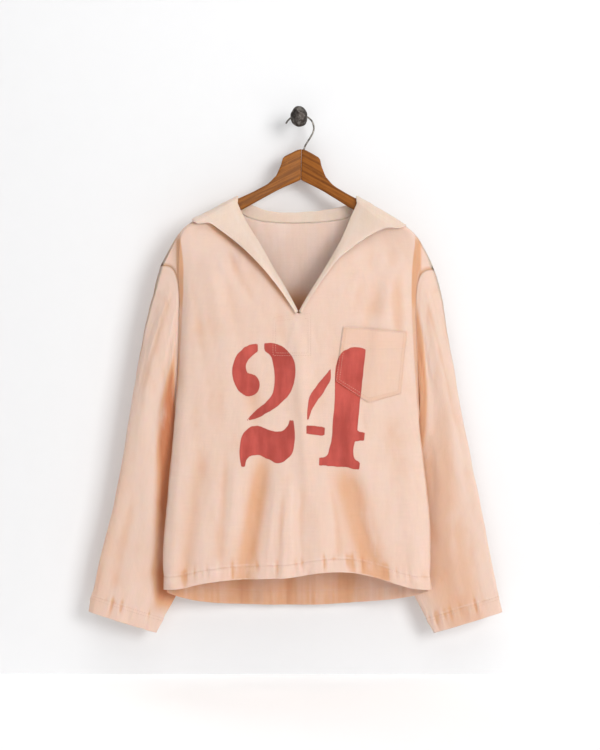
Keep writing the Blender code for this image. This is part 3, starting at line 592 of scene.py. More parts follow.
def ring_point(table, station, turn, extra=0.0):
    """Point on a sleeve: turn 0 is the outer edge, 0.25 the front, 0.5 the inner edge, 0.75 the rear."""
    data = rows(table)
    found = smooth_curve(np.arange(len(data)), data, station)
    outer = found[..., 0:3]
    inner = found[..., 3:6]
    depth = found[..., 6:7]
    bow = found[..., 7:8]
    half = (outer - inner) / 2
    flat = np.hypot(half[..., 0], half[..., 1])[..., None]
    lean = np.sign(data[0, 0])
    front = np.concatenate([half[..., 1:2], -half[..., 0:1], 0 * flat], axis=-1) * lean / flat
    angle = (np.asarray(turn) * 2 * math.pi)[..., None]
    inward = np.array([-lean, 0.0, 0.0])
    rise = np.asarray(extra)[..., None] if np.ndim(extra) else extra
    size = 1.0 + rise / (depth + 25.0)
    swell = np.sign(np.sin(angle)) * np.abs(np.sin(angle)) ** TUBE_ROUND
    point = (outer + inner) / 2 + half * np.cos(angle) * size + front * (depth + rise) * swell
    low = (1.0 - np.cos(angle)) / 2
    return point + inward * bow * np.sqrt(np.abs(np.sin(angle))) * (1.0 - low) ** 1.2


def sleeve_rise(folds, station, turn):
    total = np.zeros(np.broadcast(station, turn).shape)
    for start, end, turn_start, turn_end, width, rise in folds:
        along = (station - start) / (end - start)
        middle = mix(turn_start, turn_end, along)
        total = total + rise * band(along, -0.05, 1.1, 0.3, 0.3) * ridge(turn - middle, width)
    return total


def grid_normals(points, closed=False):
    """Unit normal at each point of a grid of rows and columns."""
    down = np.gradient(points, axis=0)
    if closed:
        along = np.roll(points, -1, axis=1) - np.roll(points, 1, axis=1)
    else:
        along = np.gradient(points, axis=1)
    return unit(np.cross(down, along))


def lengths_along(points, axis):
    """Running length along the rows or columns of a grid, from its first line."""
    steps = np.linalg.norm(np.diff(points, axis=axis), axis=-1)
    start = np.zeros_like(np.take(steps, [0], axis=axis))
    return np.concatenate([start, np.cumsum(steps, axis=axis)], axis=axis)


def neck_stations(table, count):
    """Neck and collar places at even steps along a table, as rows of the same columns."""
    data = rows(table)
    return smooth_curve(np.linspace(0, 1, len(data)), data, np.linspace(0, 1, count + 1))


def top_edge(side, columns):
    """Top of a panel's main columns, left to right, as across and height."""
    shoulder_count, neck_count = columns
    reach = -CROWN_REACH[-1] if side == "front" else CROWN_REACH[-1]
    if side == "front":
        left = neck_stations(NECK_LEFT, neck_count)[:, :2]
        right = neck_stations(NECK_RIGHT, neck_count)[::-1, :2]
        middle = [[(left[-1, 0] + right[0, 0]) / 2, left[-1, 1] - 1.6]]
        neck = np.concatenate([left, middle, right])
        edge_share = 1.0
    else:
        neck = neck_stations(NECK_BACK, neck_count)[:, :2]
        edge_share = BACK_FACE
    tops = []
    for end, corner in ((-1, neck[0, 0]), (1, neck[-1, 0])):
        start = float(across(edge_share * end, -205.0))
        xs = mix(start, corner, np.arange(shoulder_count) / shoulder_count)
        zs = over_shoulder(xs, reach)[:, 2]
        tops.append(np.stack([xs, zs], axis=1))
    return np.concatenate([tops[0], neck, tops[1][::-1]]), edge_share


def panel(side, columns):
    """Grid of a body panel: rows down from the shoulder, columns from the left seam to the right one."""
    forward = side == "front"
    sign = -1.0 if forward else 1.0
    top, edge_share = top_edge(side, columns)
    hem = rows(FRONT_HEM if forward else BACK_HEM)
    shares = np.linspace(-edge_share, edge_share, len(top))
    hem_z = smooth_curve(hem[:, 0], hem[:, 1], across(shares, -808.0))
    top_share = side_share(top[:, 0], top[:, 1])
    top_share[0] = -edge_share
    top_share[-1] = edge_share
    grid = []
    for mark in MARKS:
        if mark < CROWN_MARKS[-1]:
            x = across(top_share, top[:, 1])
            grid.append(over_shoulder(x, sign * np.interp(mark, CROWN_MARKS, CROWN_REACH)))
            continue
        f = (mark - CROWN_MARKS[-1]) / (LAST_MARK - CROWN_MARKS[-1])
        z = mix(top[:, 1], hem_z, f)
        x = across(mix(top_share, shares, 1 - (1 - f) ** 2), z)
        grid.append(over_shoulder(x, sign * reach_to(x, z)))
    main = np.array(grid)
    strips = [side_strip(main, side, end, SEAM_STRIP) for end in ("left", "right")]
    return np.concatenate([strips[0], main, strips[1][:, ::-1]], axis=1)


def side_strip(main, side, end, count):
    """Cloth between a panel's side fold and its armhole or side seam, from the seam inward."""
    forward = side == "front"
    sleeve = SLEEVE_LEFT if end == "left" else SLEEVE_RIGHT
    fold = main[:, 0] if end == "left" else main[:, -1]
    lean = -1.0 if end == "left" else 1.0
    turns = np.minimum(MARKS, ARMPIT_MARK) / ARMPIT_MARK * 0.5
    seam = ring_point(sleeve, np.zeros(len(MARKS)), turns if forward else 1.0 - turns)
    hem = rows(FRONT_HEM if forward else BACK_HEM)
    hem_z = hem[0, 1] if end == "left" else hem[-1, 1]
    low = MARKS > ARMPIT_MARK
    armpit = seam[low][0].copy()
    drop = (MARKS[low] - ARMPIT_MARK) / (LAST_MARK - ARMPIT_MARK)
    z = mix(armpit[2], hem_z, drop)
    x = across(lean, z) - lean * SEAM_INSET
    x = mix(armpit[0], x, ease(drop * 20))
    y = mix(armpit[1], body_at(z)[5], ease(drop * 3.0))
    seam[low] = np.stack([x, y, z], axis=-1)
    share = (np.arange(count) / count)[None, :, None]
    line = mix(seam[:, None], fold[:, None], share)
    shoulder_x = mix(seam[0, 0], fold[0, 0], share[0, :, 0])
    shoulder = over_shoulder(shoulder_x, 0.0)
    shoulder[:, 1] = mix(seam[0, 1], fold[0, 1], share[0, :, 0])
    calm = ease(1.0 - MARKS / (ARMPIT_MARK - 2.0))[:, None, None]
    line = line + (shoulder - line[0]) * calm
    belly = 4.0 * share[..., 0] * (1.0 - share[..., 0])
    line[..., 0] += lean * 2.5 * belly * ease(MARKS / 6.0)[:, None]
    return line


def soften_fold(grid, column, reach, passes):
    """Round off a sharp fold that runs down a grid."""
    low, high = column - reach, column + reach + 1
    for _ in range(passes):
        part = grid[:, low:high].copy()
        grid[:, low + 1:high - 1] = (part[:, :-2] + 2 * part[:, 1:-1] + part[:, 2:]) / 4


def seat_ring(seam, inside, normal, sleeve_way):
    """How far a sleeve stands off the armhole edge, clear of the body's cloth."""
    along = unit(np.roll(seam, -1, axis=0) - np.roll(seam, 1, axis=0))
    body_way = unit(np.cross(normal, along))
    body_way = body_way * np.sign(np.sum(body_way * (seam - inside), axis=-1, keepdims=True))
    sleeve_way = unit(sleeve_way - along * np.sum(sleeve_way * along, axis=-1, keepdims=True))
    turn = np.sum(body_way * sleeve_way, axis=-1, keepdims=True)
    lift = np.where(turn > 0, (CLOTH / 2) * np.sqrt(np.maximum(1 - turn**2, 0)),
                    CLOTH / 2 - turn * CLOTH / 2)
    return normal * lift + body_way * SEAM_TOUCH * np.maximum(turn, 0)


def collar_stations():
    """Seam, fold, edge and lift along the whole neck, from the left of the V round the back to its right."""
    found = []

    def from_heights(row, sign):
        flat = []
        for i in (0, 2, 4):
            flat += [row[i], sign * float(reach_to(row[i], row[i + 1]))]
        found.append(flat + [row[6]])

    def crossing(lean):
        for seam_reach, edge_reach, inset, lift in COLLAR_CROSSING[::lean]:
            seam_x, fold_x = NECK_CORNERS[lean]
            edge_x = lean * (COLLAR_TIP - inset)
            found.append([seam_x, seam_reach, fold_x, seam_reach, edge_x, edge_reach, lift])

    for row in neck_stations(NECK_LEFT, V_COLUMNS)[::-1]:
        from_heights(row, -1)
    crossing(-1)
    for row in neck_stations(NECK_BACK, NECK_COLUMNS):
        from_heights(row, 1)
    crossing(1)
    for row in neck_stations(NECK_RIGHT, V_COLUMNS):
        from_heights(row, -1)
    return rows(found)


def collar_grid():
    """Flat places and stand-off of the collar: rows from the seam over the fold to the outer edge."""
    known = collar_stations()
    knots = np.arange(len(known))
    at = np.linspace(0, knots[-1], knots[-1] * COLLAR_COLUMNS + 1)
    found = smooth_curve(knots, known, at)
    flap = (at >= FLAP_STATIONS[0]) & (at <= FLAP_STATIONS[1])
    for i in (4, 5):
        found[flap, i] = np.interp(at[flap], knots, known[:, i])
    seam, fold, edge, lift = found[:, 0:2], found[:, 2:4], found[:, 4:6], found[:, 6]
    gap = np.linalg.norm(fold - seam, axis=1, keepdims=True)
    inward = (fold - seam) / np.maximum(gap, 1e-6)
    back = np.minimum(1.0, 0.3 * gap)
    hinge = fold - inward * back
    grid = []
    for t in np.linspace(0, 1, 6, endpoint=False):
        grid.append((mix(seam + inward * NECK_GAP, hinge, t), 0.1 * t + 0 * lift))
    for angle in np.linspace(-math.pi / 2, math.pi / 2, 9):
        grid.append((hinge + inward * back * math.cos(angle), LAYER / 2 * (1 + math.sin(angle)) + 0 * lift))
    for step in range(1, FALL_ROWS + 1):
        t = (step / FALL_ROWS) ** 1.15
        grid.append((mix(hinge, edge, t), LAYER + lift * (1 - (1 - t) ** 2)))
    place = np.array([g[0] for g in grid])
    out = np.array([g[1] for g in grid])
    return place, out


def shape_points(runs, place):
    """Closed outline of one painted shape."""
    found = []
    for run in runs:
        data = rows(run)
        if len(data) > 2:
            steps = lengths_along(data, 0)
            data = smooth_curve(steps, data, np.linspace(0, steps[-1], int(steps[-1] / 4) + 2))
        found.append(data)
    return np.concatenate(found) + rows(place)


def segment_gap(x, z, start, end):
    """Distance from a place to a straight line between two points."""
    dx, dz = end[0] - start[0], end[1] - start[1]
    t = np.clip(((x - start[0]) * dx + (z - start[1]) * dz) / max(dx * dx + dz * dz, 1e-9), 0, 1)
    return np.hypot(x - start[0] - t * dx, z - start[1] - t * dz)


def paint_depth(x, z):
    """How deep a place lies inside the painted number, in millimetres, plus the reach of the paint's edge."""
    depth = np.full(x.shape, -PAINT_REACH)
    near = (x > -125) & (x < 125) & (z > -615) & (z < -375)
    px, pz = x[near], z[near]
    best = np.full(px.shape, -PAINT_REACH)
    for runs, place in [(runs, TWO_PLACE) for runs in TWO] + [(runs, FOUR_PLACE) for runs in FOUR]:
        outline = shape_points(runs, place)
        gap = np.full(px.shape, np.inf)
        inside = np.zeros(px.shape, dtype=bool)
        for (ax, az), (bx, bz) in zip(outline, np.roll(outline, -1, axis=0)):
            gap = np.minimum(gap, segment_gap(px, pz, (ax, az), (bx, bz)))
            if az != bz:
                inside ^= ((az > pz) != (bz > pz)) & (px < (bx - ax) * (pz - az) / (bz - az) + ax)
        best = np.maximum(best, np.where(inside, gap, -gap))
    depth[near] = best
    return np.clip(depth, -PAINT_REACH, PAINT_REACH) + PAINT_REACH


def crumple(x, z, table):
    """Unevenness of washed cloth, as the sum of a table of soft noises."""
    return sum(high * soft_noise(x + slant * z, z, wide, tall, seed)
               for high, slant, wide, tall, seed in table)


def front_relief(x, z):
    """Creases, crumple and a lapel seam of the front, as height off its plain form."""
    calm = ease((1.02 - np.abs(side_share(x, z))) / 0.08)
    rise = crease_rise(FRONT_CREASES, x, z) * (0.3 + 0.7 * calm) + crumple(x, z, FRONT_CRUMPLE)
    for start, end in zip(LAPEL_SEAM, LAPEL_SEAM[1:]):
        rise = rise - 0.7 * ridge(segment_gap(x, z, start, end), 2.2)
    return rise


def back_relief(x, z):
    return crease_rise(BACK_CREASES, x, z) + crumple(x, z, BACK_CRUMPLE)


def lapel_shade(x, z):
    """Share of shade on the front cloth just below the left lapel's free edge."""
    edge = neck_stations(NECK_LEFT, 40)
    under = np.interp(x, edge[:, 4], edge[:, 5]) + 4.0 - z
    return band(under, -10, 24, 12, 22) * band(x, -165, -8, 25, 20)


def edge_band(distance, width, seed, along):
    """Rise and extra thickness of a turned and stitched edge, puckered along its stitching."""
    inside = ease((width + 1.5 - distance) / 3.0)
    groove = ridge(distance - width, 2.0)
    level = distance * 0 + 1
    pucker = soft_noise(along, level, PUCKER_PITCH, 1, seed) * ridge(distance - width + 4, 13.0)
    edge = soft_noise(along, level, PUCKER_PITCH * 1.7, 1, seed + 1) * ease(1 - distance / width)
    return 0.3 * inside - 0.35 * groove + 1.7 * pucker + 0.8 * edge, 0.9 * inside


def mark_points(made, label, values):
    """Number at each point of a piece, for its material to read."""
    layer = made.data.attributes.new(label, "FLOAT", "POINT")
    layer.data.foreach_set("value", np.ravel(values).astype(np.float32))


def new_mesh_piece(name, vertices, faces, look, uv=None, smooth=True):
    """Object of one mesh in millimetres, with a place for its weave or grain at each corner."""
    mesh = bpy.data.meshes.new(name)
    mesh.from_pydata((vertices * MM).tolist(), [], faces if isinstance(faces, list) else faces.tolist())
    if uv is not None:
        layer = mesh.uv_layers.new(name="cloth")
        layer.data.foreach_set("uv", (np.asarray(uv, dtype=np.float32) * MM).ravel())
    mesh.materials.append(look)
    if smooth:
        mesh.shade_smooth()
    made = bpy.data.objects.new(name, mesh)
    bpy.context.scene.collection.objects.link(made)
    return made


def shell(name, middle, normals, thick, place, look, marks, closed=False, keep=None):
    """Closed wall of cloth around a grid of points: two skins and a rim along every free edge."""
    size = middle.shape[:2]
    total = size[0] * size[1]
    thick = np.broadcast_to(thick, size)[..., None]
    outer = middle + normals * thick / 2
    inner = middle - normals * thick / 2
    index = np.arange(total).reshape(size)
    if closed:
        index = np.concatenate([index, index[:, :1]], axis=1)
    spots = np.arange(place.shape[0] * place.shape[1]).reshape(place.shape[:2])
    quads = []
    for grid in (index, spots):
        corners = np.stack([grid[:-1, :-1], grid[1:, :-1], grid[1:, 1:], grid[:-1, 1:]], axis=-1)
        quads.append(corners.reshape(-1, 4) if keep is None else corners[keep])
    if np.sum(grid_normals(middle, closed) * normals) < 0:
        quads = [q[:, ::-1] for q in quads]
    faces, spot_faces = quads
    edges = np.concatenate([faces[:, [i, (i + 1) % 4]] for i in range(4)])
    code = np.sort(edges, axis=1)
    code = code[:, 0] * total + code[:, 1]
    _, first, count = np.unique(code, return_index=True, return_counts=True)
    rim = edges[first[count == 1]]
    rim_faces = np.stack([rim[:, 1], rim[:, 0], rim[:, 0] + total, rim[:, 1] + total], axis=-1)
    rim_spots = rim // size[1] * place.shape[1] + rim % size[1]
    faces = np.concatenate([faces, faces[:, ::-1] + total, rim_faces])
    spot_faces = np.concatenate([spot_faces, spot_faces[:, ::-1], rim_spots[:, [1, 0, 0, 1]]])
    vertices = np.concatenate([outer.reshape(-1, 3), inner.reshape(-1, 3)])
    used = np.unique(faces)
    lookup = np.zeros(2 * total, dtype=int)
    lookup[used] = np.arange(len(used))
    uv = place.reshape(-1, 2)[spot_faces].reshape(-1, 2)
    made = new_mesh_piece(name, vertices[used], lookup[faces], look, uv)
    for label, skins in marks.items():
        both = np.concatenate([np.broadcast_to(values, size).ravel() for values in skins])
        mark_points(made, label, both[used])
    cloth[name] = (outer, normals)
    return made


def settle(piece, replaced=()):
    """Tie a finished piece to the frame."""
    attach(piece, "root")
    if replaced:
        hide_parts(*replaced)


def add_node(tree, kind, inputs=None, **settings):
    made = tree.nodes.new(kind)
    for key, value in settings.items():
        setattr(made, key, value)
    for key, value in (inputs or {}).items():
        if isinstance(value, bpy.types.NodeSocket):
            tree.links.new(value, made.inputs[key])
        else:
            made.inputs[key].default_value = value
    return made


def calculate(tree, operation, first, second=0.0, third=0.0, clamp=False):
    given = {0: first, 1: second, 2: third}
    return add_node(tree, "ShaderNodeMath", given, operation=operation, use_clamp=clamp).outputs[0]


def blend_colours(tree, share, first, second):
    made = add_node(tree, "ShaderNodeMix", {0: share, 6: first, 7: second}, data_type="RGBA")
    return made.outputs[2]


def remap(tree, value, low, high, to_low=0.0, to_high=1.0):
    made = add_node(tree, "ShaderNodeMapRange", {0: value, 1: low, 2: high, 3: to_low, 4: to_high},
                    interpolation_type="SMOOTHSTEP")
    return made.outputs[0]


def noise(tree, place, scale, **inputs):
    return add_node(tree, "ShaderNodeTexNoise", {"Vector": place, "Scale": scale, **inputs}).outputs["Fac"]


def waves(tree, place, scale, direction="X", **inputs):
    named = {key.replace("_", " "): value for key, value in inputs.items()}
    made = add_node(tree, "ShaderNodeTexWave", {"Vector": place, "Scale": scale, **named},
                    bands_direction=direction)
    return made.outputs["Fac"]


def stretched(tree, place, scale=(1, 1, 1), turn=0.0):
    made = add_node(tree, "ShaderNodeMapping", {"Vector": place, "Scale": scale, "Rotation": (0, 0, turn)})
    return made.outputs[0]


def cloth_place(tree):
    return add_node(tree, "ShaderNodeUVMap", uv_map="cloth").outputs[0]


def object_place(tree):
    return add_node(tree, "ShaderNodeTexCoord").outputs["Object"]


def point_mark(tree, label):
    return add_node(tree, "ShaderNodeAttribute", attribute_name=label).outputs["Fac"]


def effect_group(name, inputs, outputs, build):
    """Node group with named number sockets, built once."""
    if name in bpy.data.node_groups:
        return bpy.data.node_groups[name]
    group = bpy.data.node_groups.new(name, "ShaderNodeTree")
    for label, default in inputs.items():
        socket = group.interface.new_socket(name=label, in_out="INPUT", socket_type="NodeSocketFloat")
        socket.default_value = default
    for label in outputs:
        group.interface.new_socket(name=label, in_out="OUTPUT", socket_type="NodeSocketFloat")
    start = group.nodes.new("NodeGroupInput")
    end = group.nodes.new("NodeGroupOutput")
    for label, socket in build(group, start.outputs).items():
        group.links.new(socket, end.inputs[label])
    return group


def drill_weave():
    """Twill lines over single threads, with slubs: a shade and a height."""
    def build(tree, given):
        place = cloth_place(tree)
        fine = calculate(tree, "DIVIDE", WAVE_PER_THREAD, given["Thread"])
        warp = waves(tree, place, fine, "X", Distortion=0.6, Detail=1.0, Detail_Scale=1.0)
        weft = waves(tree, place, fine, "Y", Distortion=0.6, Detail=1.0, Detail_Scale=1.0)
        twill = waves(tree, stretched(tree, place, turn=TWILL_TURN), calculate(tree, "MULTIPLY", fine, 0.7),
                      Distortion=0.9, Detail=2.0, Detail_Scale=0.7)
        slub = noise(tree, stretched(tree, place, (430, 26, 1)), 1.0, Detail=2.0)
        pick = noise(tree, stretched(tree, place, (24, 430, 1)), 1.0, Detail=2.0)
        body = calculate(tree, "MULTIPLY_ADD", twill, 0.6, calculate(tree, "MULTIPLY", warp, weft))
        uneven = calculate(tree, "MULTIPLY", calculate(tree, "ADD", slub, pick), given["Slub"])
        height = calculate(tree, "ADD", body, uneven)
        return {"Shade": remap(tree, height, 0.5, 1.9, 0.9, 1.06), "Height": height}
    return effect_group("drill weave", {"Thread": 0.00055, "Slub": 0.6}, ("Shade", "Height"), build)


def washed_patches():
    """Broad uneven fading, in soft patches and along the warp."""
    def build(tree, given):
        place = object_place(tree)
        broad = noise(tree, place, given["Broad"], Detail=4.0, Roughness=0.6)
        streak = noise(tree, stretched(tree, place, (1, 1, 0.22)), given["Fine"], Detail=3.0, Roughness=0.55)
        both = calculate(tree, "MULTIPLY_ADD", streak, 0.45, calculate(tree, "MULTIPLY", broad, 0.55))
        return {"Patches": remap(tree, both, 0.36, 0.64), "Speckle": remap(tree, streak, 0.3, 0.7)}
    return effect_group("washed patches", {"Broad": 9.0, "Fine": 60.0}, ("Patches", "Speckle"), build)


def long_grain():
    """Wood grain that runs along the piece: colour share, pores and wear."""
    def build(tree, given):
        place = cloth_place(tree)
        bands = noise(tree, stretched(tree, place, (9, 150, 1)), given["Size"], Detail=5.0, Roughness=0.62,
                      Distortion=0.6)
        pores = noise(tree, stretched(tree, place, (40, 1600, 1)), given["Size"], Detail=2.0)
        scuffs = noise(tree, place, 70.0, Detail=4.0, Roughness=0.7)
        return {"Grain": remap(tree, bands, 0.34, 0.66), "Pores": remap(tree, pores, 0.38, 0.62),
                "Wear": remap(tree, scuffs, 0.5, 0.72)}
    return effect_group("long grain", {"Size": 1.0}, ("Grain", "Pores", "Wear"), build)


def aged_metal():
    """Rubbed and darkened metal: a wear share and a fine height."""
    def build(tree, given):
        place = object_place(tree)
        patch = noise(tree, place, given["Size"], Detail=5.0, Roughness=0.65)
        grit = noise(tree, place, 900.0, Detail=2.0)
        height = calculate(tree, "MULTIPLY_ADD", patch, 0.7, calculate(tree, "MULTIPLY", grit, 0.3))
        return {"Wear": remap(tree, patch, 0.42, 0.66), "Height": height}
    return effect_group("aged metal", {"Size": 160.0}, ("Wear", "Height"), build)


def use_group(tree, group, **values):
    made = add_node(tree, "ShaderNodeGroup", node_tree=group)
    for key, value in values.items():
        made.inputs[key].default_value = value
    return made.outputs


def new_material(name, roughness, metallic=0.0, **fixed):
    made = bpy.data.materials.new(name)
    made.use_nodes = True
    shader = made.node_tree.nodes["Principled BSDF"]
    shader.inputs["Roughness"].default_value = roughness
    shader.inputs["Metallic"].default_value = metallic
    for key, value in fixed.items():
        shader.inputs[key.replace("_", " ")].default_value = value
    return made, made.node_tree, shader


def colour(tint, factors=1.0, most=1.0):
    """A tint, scaled channel by channel up to a limit, as a colour with full alpha."""
    return tuple(np.minimum(np.multiply(tint, factors), most)) + (1.0,)


def feed(tree, shader, **sockets):
    for key, socket in sockets.items():
        tree.links.new(socket, shader.inputs[key.replace("_", " ")])


def add_bump(tree, shader, height, strength, distance):
    bump = add_node(tree, "ShaderNodeBump", {"Strength": strength, "Distance": distance, "Height": height})
    feed(tree, shader, Normal=bump.outputs[0])


def cotton(name, looks, main, painted=False):
    """Faded cotton drill, with painted shade in its hollows, painted light on its inner skin near the neck,
    wear, and the stencilled number where it is painted.
    """
    made, tree, shader = new_material(
        name, 0.9, Sheen_Weight=0.12, Sheen_Roughness=0.5, Specular_IOR_Level=0.2,
        Subsurface_Weight=0.35, Subsurface_Radius=(1.0, 0.42, 0.2), Subsurface_Scale=0.002)
    weave = use_group(tree, drill_weave(), Thread=looks.thread_pitch, Slub=0.6)
    patches = use_group(tree, washed_patches(), Broad=9.0, Fine=55.0)
    # Painted shade: each point's mark tints the cloth toward its shade tint, and beyond 1 toward its deep
    # shade tint
    hollow = point_mark(tree, "hollow")
    deepened = calculate(tree, "MULTIPLY_ADD", patches["Patches"], 0.12, hollow, clamp=True)
    tint = blend_colours(tree, deepened, colour(main), colour(main, SHADE_TINT))
    deeper = calculate(tree, "SUBTRACT", hollow, 1.0, clamp=True)
    tint = blend_colours(tree, deeper, tint, colour(main, DEEP_SHADE_TINT))
    # Pale tint from each point's mark: real wear at edges and ridges, and painted light on the inner skin
    # near the neck
    rubbed = calculate(tree, "MULTIPLY", point_mark(tree, "worn"), patches["Speckle"])
    tint = blend_colours(tree, rubbed, tint, colour(main, PALE, 0.92))
    if painted:
        paint = np.array(looks.number_colour)
        dark = colour(paint, PAINT_DARK)
        depth = point_mark(tree, "paint")
        ragged = calculate(tree, "MULTIPLY_ADD", patches["Speckle"], 1.6, -0.8)
        mask = remap(tree, calculate(tree, "ADD", depth, ragged), PAINT_REACH - 0.6, PAINT_REACH + 0.6)
        red = blend_colours(tree, patches["Patches"], dark, colour(mix(paint, np.array(main), PAINT_THIN)))
        edge = remap(tree, depth, PAINT_REACH + 3.0, PAINT_REACH + 0.2, 0.0, 0.35)
        red = blend_colours(tree, edge, red, dark)
        cover = calculate(tree, "MULTIPLY", mask, remap(tree, weave["Height"], 0.2, 0.9, 0.93, 0.99))
        tint = blend_colours(tree, cover, tint, red)
    shaded = add_node(tree, "ShaderNodeHueSaturation", {"Value": weave["Shade"], "Color": tint})
    feed(tree, shader, Base_Color=shaded.outputs[0],
         Roughness=remap(tree, weave["Height"], 0.2, 2.2, 0.95, 0.84))
    add_bump(tree, shader, weave["Height"], 0.55, 0.00022)
    return made


def thread_finish(name, tint):
    """Twisted sewing thread."""
    made, tree, shader = new_material(name, 0.7, Sheen_Weight=0.1)
    place = object_place(tree)
    fade = remap(tree, noise(tree, place, 40.0, Detail=3.0), 0.35, 0.65)
    feed(tree, shader, Base_Color=blend_colours(tree, fade, colour(tint, 0.78), colour(tint)))
    add_bump(tree, shader, waves(tree, place, 700.0, "DIAGONAL", Distortion=1.0), 0.6, 0.0001)
    return made


def varnished_wood(name, tint):
    """Old varnished wood with darker grain and rubbed places."""
    made, tree, shader = new_material(name, 0.5, Coat_Roughness=0.35, Specular_IOR_Level=0.15)
    grain = use_group(tree, long_grain(), Size=1.0)
    dark = colour(tint, (0.45, 0.40, 0.36))
    light = colour(tint, (1.25, 1.35, 1.5), 0.9)
    mixed = blend_colours(tree, grain["Grain"], dark, colour(tint))
    mixed = blend_colours(tree, calculate(tree, "MULTIPLY", grain["Wear"], 0.3), mixed, light)
    mixed = blend_colours(tree, remap(tree, grain["Pores"], 0.0, 0.5, 0.35, 0.0), mixed, dark)
    # Darker by each point's mark: painted shade along the rounded corners, and the middle joint
    mixed = blend_colours(tree, calculate(tree, "MULTIPLY", point_mark(tree, "worn"), 0.6), mixed, dark)
    feed(tree, shader, Base_Color=mixed, Roughness=remap(tree, grain["Wear"], 0.0, 1.0, 0.36, 0.62),
         Coat_Weight=remap(tree, grain["Pores"], 0.0, 1.0, 0.0, 0.06))
    add_bump(tree, shader, grain["Pores"], 0.35, 0.0002)
    return made


def worn_metal(name, tint, rubbed, rough, size):
    """Dark metal, brighter and smoother where it is rubbed."""
    made, tree, shader = new_material(name, rough, 0.9)
    wear = use_group(tree, aged_metal(), Size=size)
    feed(tree, shader, Base_Color=blend_colours(tree, wear["Wear"], colour(tint), colour(rubbed)),
         Roughness=remap(tree, wear["Wear"], 0.0, 1.0, rough + 0.12, rough - 0.1))
    add_bump(tree, shader, wear["Height"], 0.4, 0.0003)
    return made


def matt_surface(name, tint, speckle, glow=0.0):
    """Painted wall or floor, almost even, with a little light of its own if asked."""
    made, tree, shader = new_material(name, 0.95, Specular_IOR_Level=0.1, Emission_Color=(1, 1, 1, 1),
                                      Emission_Strength=glow)
    soft = noise(tree, object_place(tree), speckle, Detail=3.0)
    feed(tree, shader, Base_Color=blend_colours(tree, soft, colour(tint, 0.985), colour(tint)))
    return made, tree, shader


def tube_faces(rings, sides, first=0):
    """Faces of a closed tube of rings of points: its wall, then its two ends."""
    faces = []
    for low in range(first, first + (rings - 1) * sides, sides):
        for k in range(sides):
            m = (k + 1) % sides
            faces.append((low + k, low + sides + k, low + sides + m, low + m))
    faces.append(tuple(range(first, first + sides)))
    faces.append(tuple(reversed(range(first + (rings - 1) * sides, first + rings * sides))))
    return faces


def flipped(faces):
    """The same faces turned over; the quads keep their first corner."""
    return [face[:1] + face[:0:-1] if len(face) == 4 else face[::-1] for face in faces]


def circle(sides):
    return np.arange(sides) * 2 * math.pi / sides


def stitches(name, lines, looks, look):
    """One piece of short thread stitches laid along lines of points and normals on the cloth."""
    radius, length = looks.thread_width / 2, looks.stitch_length
    pitch = length * STITCH_SPACING
    vertices, faces = [], []
    for points, normals in lines:
        steps = lengths_along(points, 0)
        for start in np.arange(0.5 * pitch, steps[-1] - pitch, pitch):
            at = start + length * np.array([0.0, 1.0])
            a, b = (np.array([np.interp(s, steps, points[:, k]) for k in range(3)]) for s in at)
            n = np.array([np.interp(at.mean(), steps, normals[:, k]) for k in range(3)])
            way = unit(b - a)
            n = unit(n - way * np.dot(n, way))
            aside = np.cross(way, n)
            faces += tube_faces(len(STITCH_RINGS), THREAD_SIDES, len(vertices))
            for share, size, rise in STITCH_RINGS:
                middle = mix(a, b, share) + n * radius * rise
                for angle in circle(THREAD_SIDES):
                    vertices.append(middle + radius * size * (aside * math.cos(angle) + n * math.sin(angle)))
    return new_mesh_piece(name, np.array(vertices), faces, look)


def grid_sample(name, row_spots, column_spots):
    """Points and normals on the outer skin of a cloth grid, at fractional rows and columns."""
    outer, normals = cloth[name]
    r = np.clip(np.asarray(row_spots, float), 0, outer.shape[0] - 1.001)
    c = np.clip(np.asarray(column_spots, float), 0, outer.shape[1] - 1.001)
    i, j = r.astype(int), c.astype(int)
    s, t = (r - i)[:, None], (c - j)[:, None]
    found = []
    for values in (outer, normals):
        top = mix(values[i, j], values[i, j + 1], t)
        low = mix(values[i + 1, j], values[i + 1, j + 1], t)
        found.append(mix(top, low, s))
    return found[0], unit(found[1])


def even_line(name, axis, distance, from_end=True, picked=None):
    """Line at an even distance from a grid's first or last row (axis 0) or column (axis 1)."""
    length = lengths_along(cloth[name][0], axis)
    length = length.T if axis else length
    if from_end:
        length = length[-1] - length
    picked = np.arange(length.shape[1]) if picked is None else picked
    spots = []
    for c in picked:
        order = np.argsort(length[:, c])
        spots.append(np.interp(distance, length[order, c], order))
    return grid_sample(name, picked, spots) if axis else grid_sample(name, spots, picked)


def surface_line(tree, path):
    """Line seen from the front, dropped onto the cloth behind it."""
    data = rows(path)
    steps = lengths_along(data, 0)
    at = np.linspace(0, steps[-1], max(int(steps[-1] / DROP_STEP), 2))
    points, normals = [], []
    for x, z in zip(np.interp(at, steps, data[:, 0]), np.interp(at, steps, data[:, 1])):
        hit, normal, _, _ = tree.ray_cast(Vector((x * MM, -0.4, z * MM)), Vector((0, 1, 0)))
        if hit is not None:
            points.append(np.array(hit) / MM)
            normals.append(np.array(normal))
    return np.array(points), np.array(normals)


